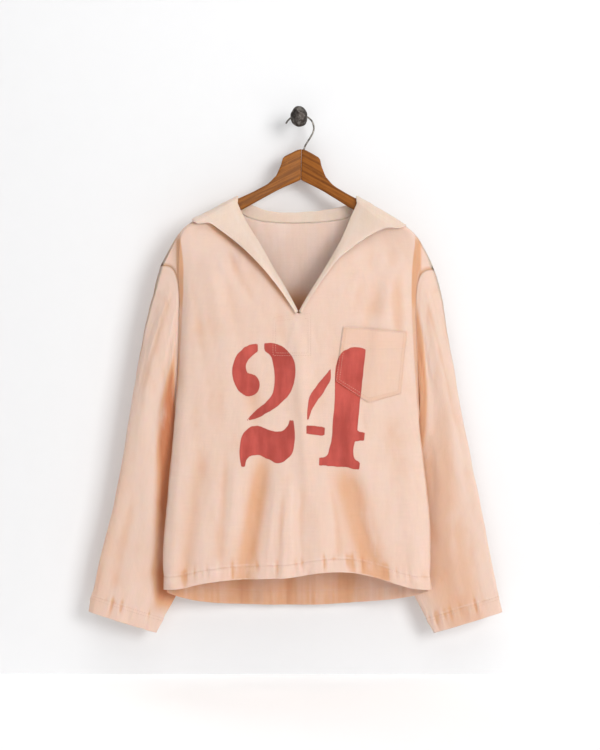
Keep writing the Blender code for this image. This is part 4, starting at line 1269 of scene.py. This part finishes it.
def round_tube(name, path, radius, look, sides=20, ends=5):
    """Solid round rod along a path, with rounded ends."""
    way = unit(np.gradient(path, axis=0))
    side = unit(np.cross(way, np.array([0.0, 1.0, 0.0])))
    up = np.cross(side, way)
    rings = []
    for angle in np.linspace(0, math.pi / 2, ends, endpoint=False):
        rings.append((0, path[0] - way[0] * radius * math.cos(angle), radius * math.sin(angle)))
    rings += [(i, place, radius) for i, place in enumerate(path)]
    for angle in np.linspace(math.pi / 2, 0, ends + 1)[1:]:
        rings.append((len(path) - 1, path[-1] + way[-1] * radius * math.cos(angle), radius * math.sin(angle)))
    vertices = []
    for i, middle, size in rings:
        size = max(size, radius * 0.02)
        for angle in circle(sides):
            vertices.append(middle + size * (side[i] * math.cos(angle) + up[i] * math.sin(angle)))
    return new_mesh_piece(name, np.array(vertices), tube_faces(len(rings), sides), look)


def tint_setting(name, description, default):
    return FloatVectorProperty(name=name, description=description, subtype="COLOR", default=default,
                               min=0, max=1)


def power_setting(name, description, default):
    return FloatProperty(name=name, description=description, default=default, min=0, unit="POWER")


class JumperLooks(bpy.types.PropertyGroup):
    """Colours and sizes of the cloth and its sewing."""
    cloth_colour: tint_setting("Cloth", "Colour of the faded drill", (0.80, 0.588, 0.488))
    collar_colour: tint_setting("Collar", "Colour of the collar, the most faded part", (0.81, 0.705, 0.635))
    number_colour: tint_setting("Number", "Colour of the stencilled number", (0.60, 0.088, 0.068))
    thread_colour: tint_setting("Thread", "Colour of the sewing thread", (0.68, 0.42, 0.31))
    thread_pitch: FloatProperty(name="Weave", description="Distance between two threads of the weave",
                                default=0.00055, min=0.0002, max=0.003, unit="LENGTH", precision=5)
    stitch_length: FloatProperty(name="Stitch", description="Length of a stitch in millimetres", default=2.7,
                                 min=1, max=8)
    thread_width: FloatProperty(name="Thread width", description="Width of the sewing thread in millimetres",
                                default=0.62, min=0.2, max=2)


class HangerLooks(bpy.types.PropertyGroup):
    """Finishes of the hanger, its hook and the wall peg."""
    # The two halves' tints are lit and shaded copies of one wood: painted light on the left half, painted
    # shade on the right
    left_wood: tint_setting("Left half", "Wood of the left half", (0.36, 0.125, 0.018))
    right_wood: tint_setting("Right half", "Wood of the right half", (0.33, 0.108, 0.016))
    wire: tint_setting("Wire", "Steel of the hook", (0.11, 0.10, 0.09))
    iron: tint_setting("Iron", "Iron of the peg", (0.055, 0.045, 0.04))


class StageLooks(bpy.types.PropertyGroup):
    """Wall, floor and lights."""
    wall: tint_setting("Wall", "Colour of the wall", (0.82, 0.82, 0.825))
    floor: tint_setting("Floor", "Colour of the floor", (0.95, 0.95, 0.95))
    key_power: power_setting("Key light", "Power of the light on the right", 147.0)
    fill_power: power_setting("Fill light", "Power of the broad light above", 36.0)
    front_power: power_setting("Front light", "Power of the soft light beside the camera", 30.0)
    rear_power: power_setting("Rear light", "Power of the light behind the wall", 26.0)
    sky: FloatProperty(name="Room light", description="Strength of the light from all round",
                       default=0.10, min=0)


def share_normals(front_out, back_out):
    """Turn both panels the same way along the shoulder line and down the side seams."""
    width = SEAM_STRIP + FRONT_COLUMNS[0] + 1
    low = MARKS >= ARMPIT_MARK
    for place in ((0, slice(None, width)), (0, slice(-width, None)), (low, 0), (low, -1)):
        both = unit(front_out[place] + back_out[place])
        front_out[place] = both
        back_out[place] = both


def dress_panel(side, grid, out, look):
    """Body panel with its creases and hem, and the painted shade, painted light and wear of both skins."""
    forward = side == "front"
    folds, cut = (FRONT_FOLDS, FRONT_CUT) if forward else (BACK_FOLDS, BACK_CUT)
    x, z = grid[..., 0], grid[..., 2]
    down, wide = lengths_along(grid, 0), lengths_along(grid, 1)
    from_hem = down[-1] - down
    near_side = np.minimum(wide, wide[:, -1:] - wide)
    edge, extra = edge_band(from_hem, HEM_TURN, 21 if forward else 31, wide)
    relief = front_relief(x, z) if forward else back_relief(x, z)
    fell = ease((FELL_WIDTH - near_side) / 2.5) * ease((MARKS[:, None] - 0.4) / 0.4)
    calm = ease(near_side / 6.0)
    rise = (relief + edge) * calm + 0.2 * fell
    ridges = fold_rise(folds, x, z)
    # Painted shade: a deeper tint in fold and crease valleys, the hem groove, along the seams, in the front's
    # turned side strips and under the left lapel
    hollow = (0.8 if forward else 0.4) * ease(-ridges / 7.0) + 0.4 * ease(-rise / 1.8)
    hollow = hollow + 0.5 * ease(-edge) + 0.9 * ease(1 - near_side / 1.8)
    if forward:
        turned = band(grid[:, [SEAM_STRIP], 0] - x, 0, 11.0, 1.5, 5.0)
        turned = turned + band(x - grid[:, [-1 - SEAM_STRIP], 0], 0, 14.0, 1.5, 6.0)
        hollow = hollow + turned * ease((-203 - z) / 15) * (0.6 + 0.5 * ease((z + 340) / 30))
        hollow = hollow + 1.1 * lapel_shade(x, z)
    near_hem = ease(1 - from_hem / 90)
    # Painted shade on the inner skin: lower down, near the hem where the front shades the back, behind the
    # fold ridges and deep in the V
    inner_painted_shade = 0.35 * ease((-240 - z) / 120) + 0.5 * near_hem * (1 - 0.9 * ease((x - 50) / 50))
    inner_painted_shade = inner_painted_shade + 0.6 * ease(ridges / 3.5) + 1.3 * band(z, -440, -285, 60, 45)
    inner_painted_shade = inner_painted_shade + 0.25 * soft_noise(x, z, 5, 120, 6) * near_hem
    worn = 0.9 * ease(1 - from_hem / 2.5) + 0.5 * ridge(from_hem - HEM_TURN - 2.5, 1.6)
    worn = worn + 0.6 * ridge(near_side - FELL_WIDTH, 1.4) + 0.5 * ease(rise / 2.2)
    # Inner skin: painted light, paler high up near the neck, with a little of the outer wear
    marks = {"hollow": (hollow, inner_painted_shade), "worn": (worn, worn * 0.3 + 0.8 * ease((z + 330) / 90))}
    if forward:
        marks["paint"] = (paint_depth(x, z), 0.0)
    keep = np.ones((grid.shape[0] - 1, grid.shape[1] - 1), dtype=bool)
    crown = int(np.sum(MARKS < CROWN_MARKS[-1]))
    beside = SEAM_STRIP + FRONT_COLUMNS[0]
    keep[:crown, beside:grid.shape[1] - 1 - beside] = False
    place = np.stack([wide - wide[:, grid.shape[1] // 2][:, None], z], axis=-1)
    thick = SKIN + extra + 0.5 * fell * calm
    made = shell("jumper_" + side, grid + out * rise[..., None], out, thick, place, look, marks, keep=keep)
    settle(made, [side])


class JUMPER_OT_body(bpy.types.Operator):
    """Make the front and the back of the body"""
    bl_idname = "jumper.body"
    bl_label = "Body"

    def execute(self, context):
        looks = context.scene.jumper_looks
        main = tuple(looks.cloth_colour)
        plain = cotton("cotton drill", looks, main)
        marked = cotton("cotton drill with number", looks, main, painted=True)
        front, back = panel("front", FRONT_COLUMNS), panel("back", BACK_COLUMNS)
        for grid in (front, back):
            for column in (SEAM_STRIP, grid.shape[1] - 1 - SEAM_STRIP):
                soften_fold(grid, column, 5, 4)
        front_out, back_out = grid_normals(front), -grid_normals(back)
        share_normals(front_out, back_out)
        cloth["body"] = (front, back, front_out, back_out)
        dress_panel("front", front, front_out, marked)
        dress_panel("back", back, back_out, plain)
        return {"FINISHED"}


def sleeve_shade(end, station, turn):
    """Painted shade of a sleeve, as a deeper tint: along its inner side, where the body shades it, and
    faintly down its outer one.
    """
    if end == "left":
        start = np.interp(station, (0, 4, 6, 7, 7.5), (0.25, 0.222, 0.235, 0.265, 0.32))
        reach = 1.9 * band(station, 0.4, 7.75, 1.2, 0.5)
        outside = 0.3 * ridge(turn - 0.05, 0.06) * ease((station - 3.5) / 2.0)
    else:
        start = np.interp(station, (0, 1.5, 3, 4), (0.14, 0.19, 0.26, 0.31))
        reach = 1.2 * ease((5.5 - station) / 3.0)
        outside = 0.55 * band(turn, 0.13, 0.42, 0.07, 0.12) * ease((station - 2.6) / 2.4)
    return band(turn, start, 0.62, 0.055, 0.12) * reach + outside


def dress_sleeve(end, table, seed, turns, armhole, look):
    """Sleeve from its armhole edge to its cuff, with its creases, painted shade and wear."""
    seam, inside, out = armhole
    stations = np.concatenate([np.linspace(0, CUFF_STATION, SLEEVE_STATIONS - CUFF_ROWS, endpoint=False),
                               np.linspace(CUFF_STATION, len(table) - 1, CUFF_ROWS)])
    rings = np.array([ring_point(table, np.full(len(turns), station), turns,
                                 sleeve_rise(SLEEVE_FOLDS, station, turns)) for station in stations])
    fade = np.interp(stations, *SEAT_FADE)[:, None, None]
    rings = rings + seat_ring(seam, inside, out, rings[12] - rings[0])[None] * fade
    normals = grid_normals(rings, closed=True)
    if np.sum(normals * (rings - rings.mean(axis=1, keepdims=True))) < 0:
        normals = -normals
    station, turn = stations[:, None], turns[None, :]
    down = lengths_along(rings, 0)
    around = lengths_along(np.concatenate([rings, rings[:, :1]], axis=1), 1)
    from_cuff = down[-1] - down
    edge, extra = edge_band(from_cuff, CUFF_TURN, seed, around[:, :-1])
    uneven = sum(high * soft_noise(turn * folds, station, 1, tall, seed + i, wrap=folds)
                 for i, (high, folds, tall) in enumerate(SLEEVE_CRUMPLE))
    lean = 1.0 if end == "left" else 0.85
    rise = (sleeve_rise(SLEEVE_CREASES, station * lean, turn) + uneven) * ease(down / 14.0) + edge
    # Painted shade: a deeper tint in crease valleys, where the body shades the sleeve, in the cuff's groove,
    # along the armhole seam and on the inner skin
    hollow = 0.4 * ease(-rise / 1.8) + sleeve_shade(end, station, turn)
    hollow = hollow + 0.6 * ease(-edge) + 0.9 * ease(1 - down / 1.8)
    worn = 0.9 * ease(1 - from_cuff / 2.5) + 0.5 * ridge(from_cuff - CUFF_TURN - 2, 1.6)
    worn = worn + 0.5 * ridge(down - 2.0, 3.0) + 0.5 * ease(rise / 2.0)
    place = np.stack([around, np.concatenate([down, down[:, :1]], axis=1)], axis=-1)
    marks = {"hollow": (hollow, 0.45), "worn": (worn, worn * 0.5)}
    made = shell("jumper_sleeve_" + end, rings + normals * rise[..., None], normals, SKIN + extra, place,
                 look, marks, closed=True)
    settle(made, ["sleeve_" + end])


class JUMPER_OT_sleeves(bpy.types.Operator):
    """Make the two long sleeves"""
    bl_idname = "jumper.sleeves"
    bl_label = "Sleeves"

    def execute(self, context):
        plain = bpy.data.materials["cotton drill"]
        front, back, front_out, back_out = cloth["body"]
        arm = MARKS[MARKS <= ARMPIT_MARK]
        last = len(arm) - 1
        turns = arm / ARMPIT_MARK * 0.5
        turns = np.concatenate([turns, 1.0 - turns[-2:0:-1]])
        shifted = np.interp(arm + 2, MARKS, np.arange(len(MARKS))).astype(int)
        for end, column, near, table, seed in (
                ("left", 0, 3, SLEEVE_LEFT, 41), ("right", -1, -4, SLEEVE_RIGHT, 51)):
            seam = np.concatenate([front[:last + 1, column], back[last - 1:0:-1, column]])
            inside = np.concatenate([front[shifted, near], back[shifted, near][last - 1:0:-1]])
            out = np.concatenate([front_out[:last + 1, column], back_out[last - 1:0:-1, column]])
            dress_sleeve(end, table, seed, turns, (seam, inside, out), plain)
        return {"FINISHED"}


class JUMPER_OT_collar(bpy.types.Operator):
    """Make the sailor collar, its lapels and its square back flap"""
    bl_idname = "jumper.collar"
    bl_label = "Collar"

    def execute(self, context):
        looks = context.scene.jumper_looks
        pale = cotton("cotton drill collar", looks, tuple(looks.collar_colour))
        place, out = collar_grid()
        x, reach = place[..., 0], place[..., 1]
        grid = over_shoulder(x, reach, out)
        normals = grid_normals(grid)
        down, wide = lengths_along(grid, 0), lengths_along(grid, 1)
        from_edge = down[-1] - down
        fall = ease((down - 22) / 20)
        uneven = crumple(x, reach, COLLAR_CRUMPLE)
        pucker = soft_noise(wide, wide * 0 + 1, 9, 1, 63) * ease(1 - from_edge / 12)
        rise = (uneven + 0.6 * pucker) * fall * ease(from_edge / 3)
        rise = rise - 0.3 * ridge(from_edge - 5.5, 1.6) * fall
        thick = 1.5 + 0.5 * ease(1 - from_edge / 6) * fall
        worn = 0.9 * ease(1 - from_edge / 2.0) + 0.5 * ease((8 - np.abs(down - 20)) / 8)
        # Painted shade: a slightly deeper tint in the crumple valleys, and more on the inner skin
        marks = {"hollow": (0.15 * ease(-rise), 0.35), "worn": (worn, worn * 0.5)}
        middle = grid + normals * rise[..., None]
        made = shell("jumper_collar", middle, normals, thick, place, pale, marks)
        settle(made, ["collar"])
        return {"FINISHED"}


class JUMPER_OT_pocket(bpy.types.Operator):
    """Make the patch pocket on the breast"""
    bl_idname = "jumper.pocket"
    bl_label = "Pocket"

    def execute(self, context):
        look = bpy.data.materials["cotton drill with number"]
        s, t = np.meshgrid(np.linspace(0, 1, POCKET_GRID), np.linspace(0, 1, POCKET_GRID))
        top = mix(rows(POCKET_TOP_LEFT), rows(POCKET_TOP_RIGHT), s[..., None])
        low = mix(rows(POCKET_LOW_LEFT), rows(POCKET_LOW_RIGHT), s[..., None])
        low[..., 1] -= POCKET_POINT * (1 - np.abs(2 * s - 1))
        place = mix(top, low, t[..., None])
        x, z = place[..., 0], place[..., 1]
        sewn = np.minimum(np.minimum(s, 1 - s) * POCKET_WIDE, (1 - t) * POCKET_TALL)
        lift = 1.25 + 0.5 * ease(sewn / 9) + 1.2 * np.sin(math.pi * s) * (1 - t) ** 2
        plump = 0.35 * soft_noise(x, z, 16, 24, 71) * ease(sewn / 12)
        pucker = 0.22 * soft_noise(x + z, z, 6, 6, 72) * ease(1 - sewn / 10)
        grid = over_shoulder(x, -reach_to(x, z), front_relief(x, z) + lift + plump + pucker)
        thick = 1.1 + 0.5 * ease((7 - sewn) / 2.5) + 0.5 * ease((POCKET_BAND - t) / 0.02)
        worn = 0.8 * ease(1 - sewn / 2.2) + 0.5 * ridge(t - POCKET_BAND, 0.012) + 0.7 * ease(1 - t / 0.02)
        # Painted shade: a deeper tint over the pocket, more toward its sewn edges and on its inner skin
        marks = {"hollow": (0.2 + 0.15 * ease((7 - sewn) / 2), 0.35), "worn": (worn, worn * 0.3),
                 "paint": (paint_depth(x, z), 0.0)}
        made = shell("jumper_pocket", grid, grid_normals(grid), thick, place, look, marks)
        settle(made, ["pocket"])
        return {"FINISHED"}


def panel_lines(side):
    """Hem, armhole, side and shoulder stitching of a body panel."""
    piece = "jumper_" + side
    lines = [even_line(piece, 0, HEM_TURN)]
    arm = np.arange(int(np.sum(MARKS < 0.8)), int(np.sum(MARKS <= 12.6)))
    below = np.arange(int(np.sum(MARKS < 13.4)), int(np.sum(MARKS <= 21.9)))
    for picked in (arm, below):
        for distance in (2.2, 7.6):
            for from_end in (False, True):
                lines.append(even_line(piece, 1, distance, from_end, picked))
    seam = SEAM_STRIP + FRONT_COLUMNS[0] - 2
    count = cloth[piece][0].shape[1]
    for picked in (np.arange(3, seam), np.arange(count - seam, count - 3)):
        lines.append(even_line(piece, 0, 3.0 if side == "front" else 2.0, False, picked))
    return lines


def pocket_lines():
    """Two rows round the pocket's sewn edges, one along its band and one at its mouth."""
    last = POCKET_GRID - 1
    lines = []
    for inset in (1.6, 6.2):
        aside, up = inset / POCKET_WIDE * last, inset / POCKET_TALL * last
        rim = [(r, aside) for r in np.linspace(0.6, last - up, 60)]
        rim += [(last - up, c) for c in np.linspace(aside, last - aside, 90)]
        rim += [(r, last - aside) for r in np.linspace(last - up, 0.6, 60)]
        lines.append(grid_sample("jumper_pocket", *zip(*rim)))
    steps = np.linspace(0, last, 80)
    for t in (POCKET_BAND, 0.02):
        lines.append(grid_sample("jumper_pocket", steps * 0 + t * last, steps))
    return lines


class JUMPER_OT_stitching(bpy.types.Operator):
    """Sew the hems, seams, collar edge, placket and pocket"""
    bl_idname = "jumper.stitching"
    bl_label = "Stitching"

    def execute(self, context):
        looks = context.scene.jumper_looks
        thread = thread_finish("sewing thread", tuple(looks.thread_colour))
        tree = BVHTree.FromObject(bpy.data.objects["jumper_front"], context.evaluated_depsgraph_get())
        sewn = {"front": panel_lines("front"), "back": panel_lines("back")}
        sewn["front"] += [surface_line(tree, path) for path in PLACKET]
        sewn["front"].append(surface_line(tree, [(x + 2.4, z) for x, z in LAPEL_SEAM]))
        for piece in ("sleeve_left", "sleeve_right"):
            name = "jumper_" + piece
            sewn[piece] = [even_line(name, 0, CUFF_TURN), even_line(name, 0, CUFF_TURN - 5),
                           even_line(name, 0, 2.0, False)]
        sewn["collar"] = [even_line("jumper_collar", 0, 3.0), even_line("jumper_collar", 0, 9.0)]
        sewn["pocket"] = pocket_lines()
        for piece, lines in sewn.items():
            settle(stitches("stitching_" + piece, lines, looks, thread))
        return {"FINISHED"}


def hanger_half():
    """Rings of points along one half of the hanger, and how dark each is: painted shade along its rounded
    corners, and darker at the middle joint.
    """
    crest, belly = rows(ARM_CREST), rows(ARM_BELLY)
    along = np.concatenate([[0, 0.25, 0.8, 1.6], np.linspace(3, 28, 16), np.linspace(29, 43, 34),
                            np.linspace(45, 182, 70)])
    top = np.interp(along, crest[:, 0], crest[:, 1])
    top = np.where(along > 43, smooth_curve(crest[7:, 0], crest[7:, 1], along), top)
    for _ in range(2):
        top[1:-1] = (top[:-2] + 2 * top[1:-1] + top[2:]) / 4
    low = smooth_curve(belly[:, 0], belly[:, 1], along)
    angle = circle(HANGER_SIDES)
    ring_y = np.sign(np.cos(angle)) * np.abs(np.cos(angle)) ** HANGER_SQUARE * HANGER_THICK / 2
    ring_z = np.sign(np.sin(angle)) * np.abs(np.sin(angle)) ** HANGER_SQUARE
    middle, half = (top + low) / 2, (top - low) / 2
    edge = 0.6 * (1 - ease(along / 1.2))
    sections = []
    for offset, inset, centre, size in zip(along, edge, middle, half):
        sections.append((offset, ring_y * (1 - inset * 2 / HANGER_THICK), centre + ring_z * (size - inset)))
    for step in range(1, 9):
        turn = step / 8.5 * math.pi / 2
        drop = middle[-1] - 3 * math.sin(turn)
        sections.append((along[-1] + (ARM_END - along[-1]) * math.sin(turn), ring_y * math.cos(turn) ** 0.8,
                         drop + ring_z * half[-1] * math.cos(turn)))
    base = np.array([np.stack(np.broadcast_arrays(*section), axis=1) for section in sections])
    corner = ridge(np.abs(ring_y) * 2 / HANGER_THICK - 0.97, 0.03) * ridge(np.abs(ring_z) - 0.8, 0.25)
    return base, np.maximum(np.clip(1 - base[..., 0] / 2.5, 0, 1), 0.5 * corner)


class JUMPER_OT_hanger(bpy.types.Operator):
    """Make the two halves of the wooden hanger"""
    bl_idname = "jumper.hanger"
    bl_label = "Hanger"

    def execute(self, context):
        looks = context.scene.hanger_looks
        base, edge_dark = hanger_half()
        for lean, name, tint in ((-1, "left", looks.left_wood), (1, "right", looks.right_wood)):
            x, y, z = (base[..., i].copy() for i in range(3))
            x = lean * (x + SEAM_GAP / 2)
            y = y + HANGER_Y - HANGER_SWEEP * np.abs(x)
            tilted = (x * math.cos(HANGER_TILT) + z * math.sin(HANGER_TILT) + HANGER_TOP[0], y,
                      -x * math.sin(HANGER_TILT) + z * math.cos(HANGER_TILT) + HANGER_TOP[1])
            points = np.stack(tilted, axis=-1).reshape(-1, 3)
            grain = np.stack([base[..., 0], base[..., 2] + GRAIN_SLOPE * base[..., 0] + lean * 300], axis=-1)
            faces = flipped(tube_faces(*base.shape[:2]))
            if lean < 0:
                faces = [face[::-1] for face in faces]
            spots = grain.reshape(-1, 2)[[v for face in faces for v in face]]
            wood = varnished_wood("hanger wood " + name, tuple(tint))
            made = new_mesh_piece("wood_half_" + name, points, faces, wood, spots)
            mark_points(made, "worn", edge_dark)
            made.data.set_sharp_from_angle(angle=math.radians(50))
            settle(made, ["hanger_" + name])
        return {"FINISHED"}


class JUMPER_OT_hook(bpy.types.Operator):
    """Bend the wire hook of the hanger"""
    bl_idname = "jumper.hook"
    bl_label = "Hook"

    def execute(self, context):
        looks = context.scene.hanger_looks
        wire = worn_metal("hook steel", tuple(looks.wire), (0.35, 0.32, 0.28), 0.38, 240.0)
        data = rows(HOOK_PATH)
        steps = lengths_along(data, 0)
        places = smooth_curve(steps, data, np.linspace(0, steps[-1], 140))
        path = np.stack([places[:, 0], np.full(len(places), HANGER_Y), places[:, 1]], axis=1)
        settle(round_tube("wire_hook", path, HOOK_WIRE, wire), ["hook"])
        return {"FINISHED"}


def shank_points():
    """Rings of the round shank, a little uneven."""
    rings = [(0.0, 0.96), (0.6, 1.0)]
    rings += [(d, 1.0 + 0.015 * math.sin(d * 1.9)) for d in np.linspace(3, SHANK_LENGTH, 16)]
    points = []
    for depth, size in rings:
        for turn in circle(SHANK_SIDES):
            wide = SHANK_RADIUS * size * (1 + 0.012 * math.sin(5 * turn + depth))
            points.append((wide * math.cos(turn), -depth, wide * math.sin(turn)))
    return np.array(points), len(rings)


def hammered_head():
    """Rings of a round head with a flat facet for each blow of the hammer."""
    maker = np.random.default_rng(8)
    spread = np.arange(HEAD_FACETS) + 0.5
    height = 1 - 2 * spread / HEAD_FACETS
    swirl = math.pi * (1 + 5**0.5) * spread
    radius = np.sqrt(1 - height**2)
    flat = np.stack([np.cos(swirl) * radius, height, np.sin(swirl) * radius], axis=1)
    flat = unit(flat + maker.normal(0, 0.07, flat.shape))
    depth = 0.955 + maker.uniform(-0.03, 0.03, HEAD_FACETS)
    lat = np.linspace(0.04, math.pi - 0.04, HEAD_ROWS)
    lon = circle(HEAD_SIDES)
    ways = np.stack([np.sin(lat)[:, None] * np.cos(lon), np.cos(lat)[:, None] + 0 * lon,
                     np.sin(lat)[:, None] * np.sin(lon)], axis=-1)
    facing = np.maximum(ways @ flat.T, 1e-3) / depth
    points = ways * (np.sum(facing**HEAD_POWER, axis=-1) ** (-1 / HEAD_POWER))[..., None]
    half = PEG_DEEP / 2
    points = points * np.array([PEG_WIDE, half, PEG_TALL])
    points[..., 1] = np.clip(points[..., 1], -half, half * 0.93) - (SHANK_LENGTH + SEAM_GAP + half * 0.93)
    return points.reshape(-1, 3)


class JUMPER_OT_peg(bpy.types.Operator):
    """Forge the iron wall peg with its hammered head"""
    bl_idname = "jumper.peg"
    bl_label = "Wall peg"

    def execute(self, context):
        looks = context.scene.hanger_looks
        iron = worn_metal("hammered iron", tuple(looks.iron), (0.17, 0.155, 0.14), 0.4, 150.0)
        points, count = shank_points()
        shank = new_mesh_piece("iron_shank", points, flipped(tube_faces(count, SHANK_SIDES)), iron)
        settle(shank, ["peg_shank"])
        head = new_mesh_piece("iron_head", hammered_head(), flipped(tube_faces(HEAD_ROWS, HEAD_SIDES)), iron)
        settle(head, ["peg_head"])
        return {"FINISHED"}


class JUMPER_OT_stage(bpy.types.Operator):
    """Set the wall, the floor, the lights and the camera"""
    bl_idname = "jumper.stage"
    bl_label = "Stage"

    def execute(self, context):
        scene = context.scene
        looks = scene.stage_looks
        wall_look, tree, shader = matt_surface("wall paint", tuple(looks.wall), 30.0)
        path = add_node(tree, "ShaderNodeLightPath")
        facing = add_node(tree, "ShaderNodeNewGeometry")
        clear = add_node(tree, "ShaderNodeBsdfTransparent")
        share = calculate(tree, "MAXIMUM", facing.outputs["Backfacing"], path.outputs["Is Shadow Ray"])
        both = {0: share, 1: shader.outputs[0], 2: clear.outputs[0]}
        one_sided = add_node(tree, "ShaderNodeMixShader", both)
        tree.links.new(one_sided.outputs[0], tree.nodes["Material Output"].inputs["Surface"])
        floor_look = matt_surface("floor paint", tuple(looks.floor), 12.0, 0.16)[0]
        for name, points, look in (("wall", WALL_CORNERS, wall_look), ("floor", FLOOR_CORNERS, floor_look)):
            made = new_mesh_piece("stage_" + name, np.array(points) / MM, [(0, 1, 2, 3)], look, smooth=False)
        for name, place, aim, size in LIGHTS:
            lamp = bpy.data.lights.new(name + "_light", "AREA")
            lamp.energy = getattr(looks, name + "_power")
            lamp.size = size
            made = bpy.data.objects.new(name + "_light", lamp)
            made.location = place
            made.rotation_euler = (Vector(aim) - Vector(place)).to_track_quat("-Z", "Y").to_euler()
            scene.collection.objects.link(made)
        world = bpy.data.worlds.new("room light")
        world.use_nodes = True
        background = world.node_tree.nodes["Background"]
        background.inputs["Color"].default_value = (1, 1, 1, 1)
        background.inputs["Strength"].default_value = looks.sky
        scene.world = world
        scene.view_settings.view_transform = "Standard"
        lens = bpy.data.cameras.new("photo_camera")
        lens.lens = LENS_LENGTH
        lens.sensor_width = SENSOR_WIDTH
        camera = bpy.data.objects.new("photo_camera", lens)
        camera.location = CAMERA_PLACE
        camera.rotation_euler = (math.radians(90), 0, 0)
        scene.collection.objects.link(camera)
        scene.camera = camera
        return {"FINISHED"}


STEPS = (JUMPER_OT_body, JUMPER_OT_sleeves, JUMPER_OT_collar, JUMPER_OT_pocket, JUMPER_OT_stitching,
         JUMPER_OT_hanger, JUMPER_OT_hook, JUMPER_OT_peg, JUMPER_OT_stage)


class JUMPER_PT_panel(bpy.types.Panel):
    """Steps and settings of the sailor jumper"""
    bl_idname = "JUMPER_PT_panel"
    bl_label = "Sailor Jumper"
    bl_space_type = "VIEW_3D"
    bl_region_type = "UI"
    bl_category = "Jumper"

    def draw(self, context):
        for step in STEPS:
            self.layout.operator(step.bl_idname)
        for group in (context.scene.jumper_looks, context.scene.hanger_looks, context.scene.stage_looks):
            box = self.layout.box()
            for name in group.__annotations__:
                box.prop(group, name)


SETTINGS = {"jumper_looks": JumperLooks, "hanger_looks": HangerLooks, "stage_looks": StageLooks}


def register():
    for made in (*SETTINGS.values(), *STEPS, JUMPER_PT_panel):
        bpy.utils.register_class(made)
    for name, made in SETTINGS.items():
        setattr(bpy.types.Scene, name, PointerProperty(type=made))


def unregister():
    for name in SETTINGS:
        delattr(bpy.types.Scene, name)
    for made in (JUMPER_PT_panel, *reversed(STEPS), *SETTINGS.values()):
        bpy.utils.unregister_class(made)


def main():
    register()
    for step in STEPS:
        group, name = step.bl_idname.split(".")
        getattr(getattr(bpy.ops, group), name)()
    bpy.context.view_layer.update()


if __name__ == "__main__":
    main()
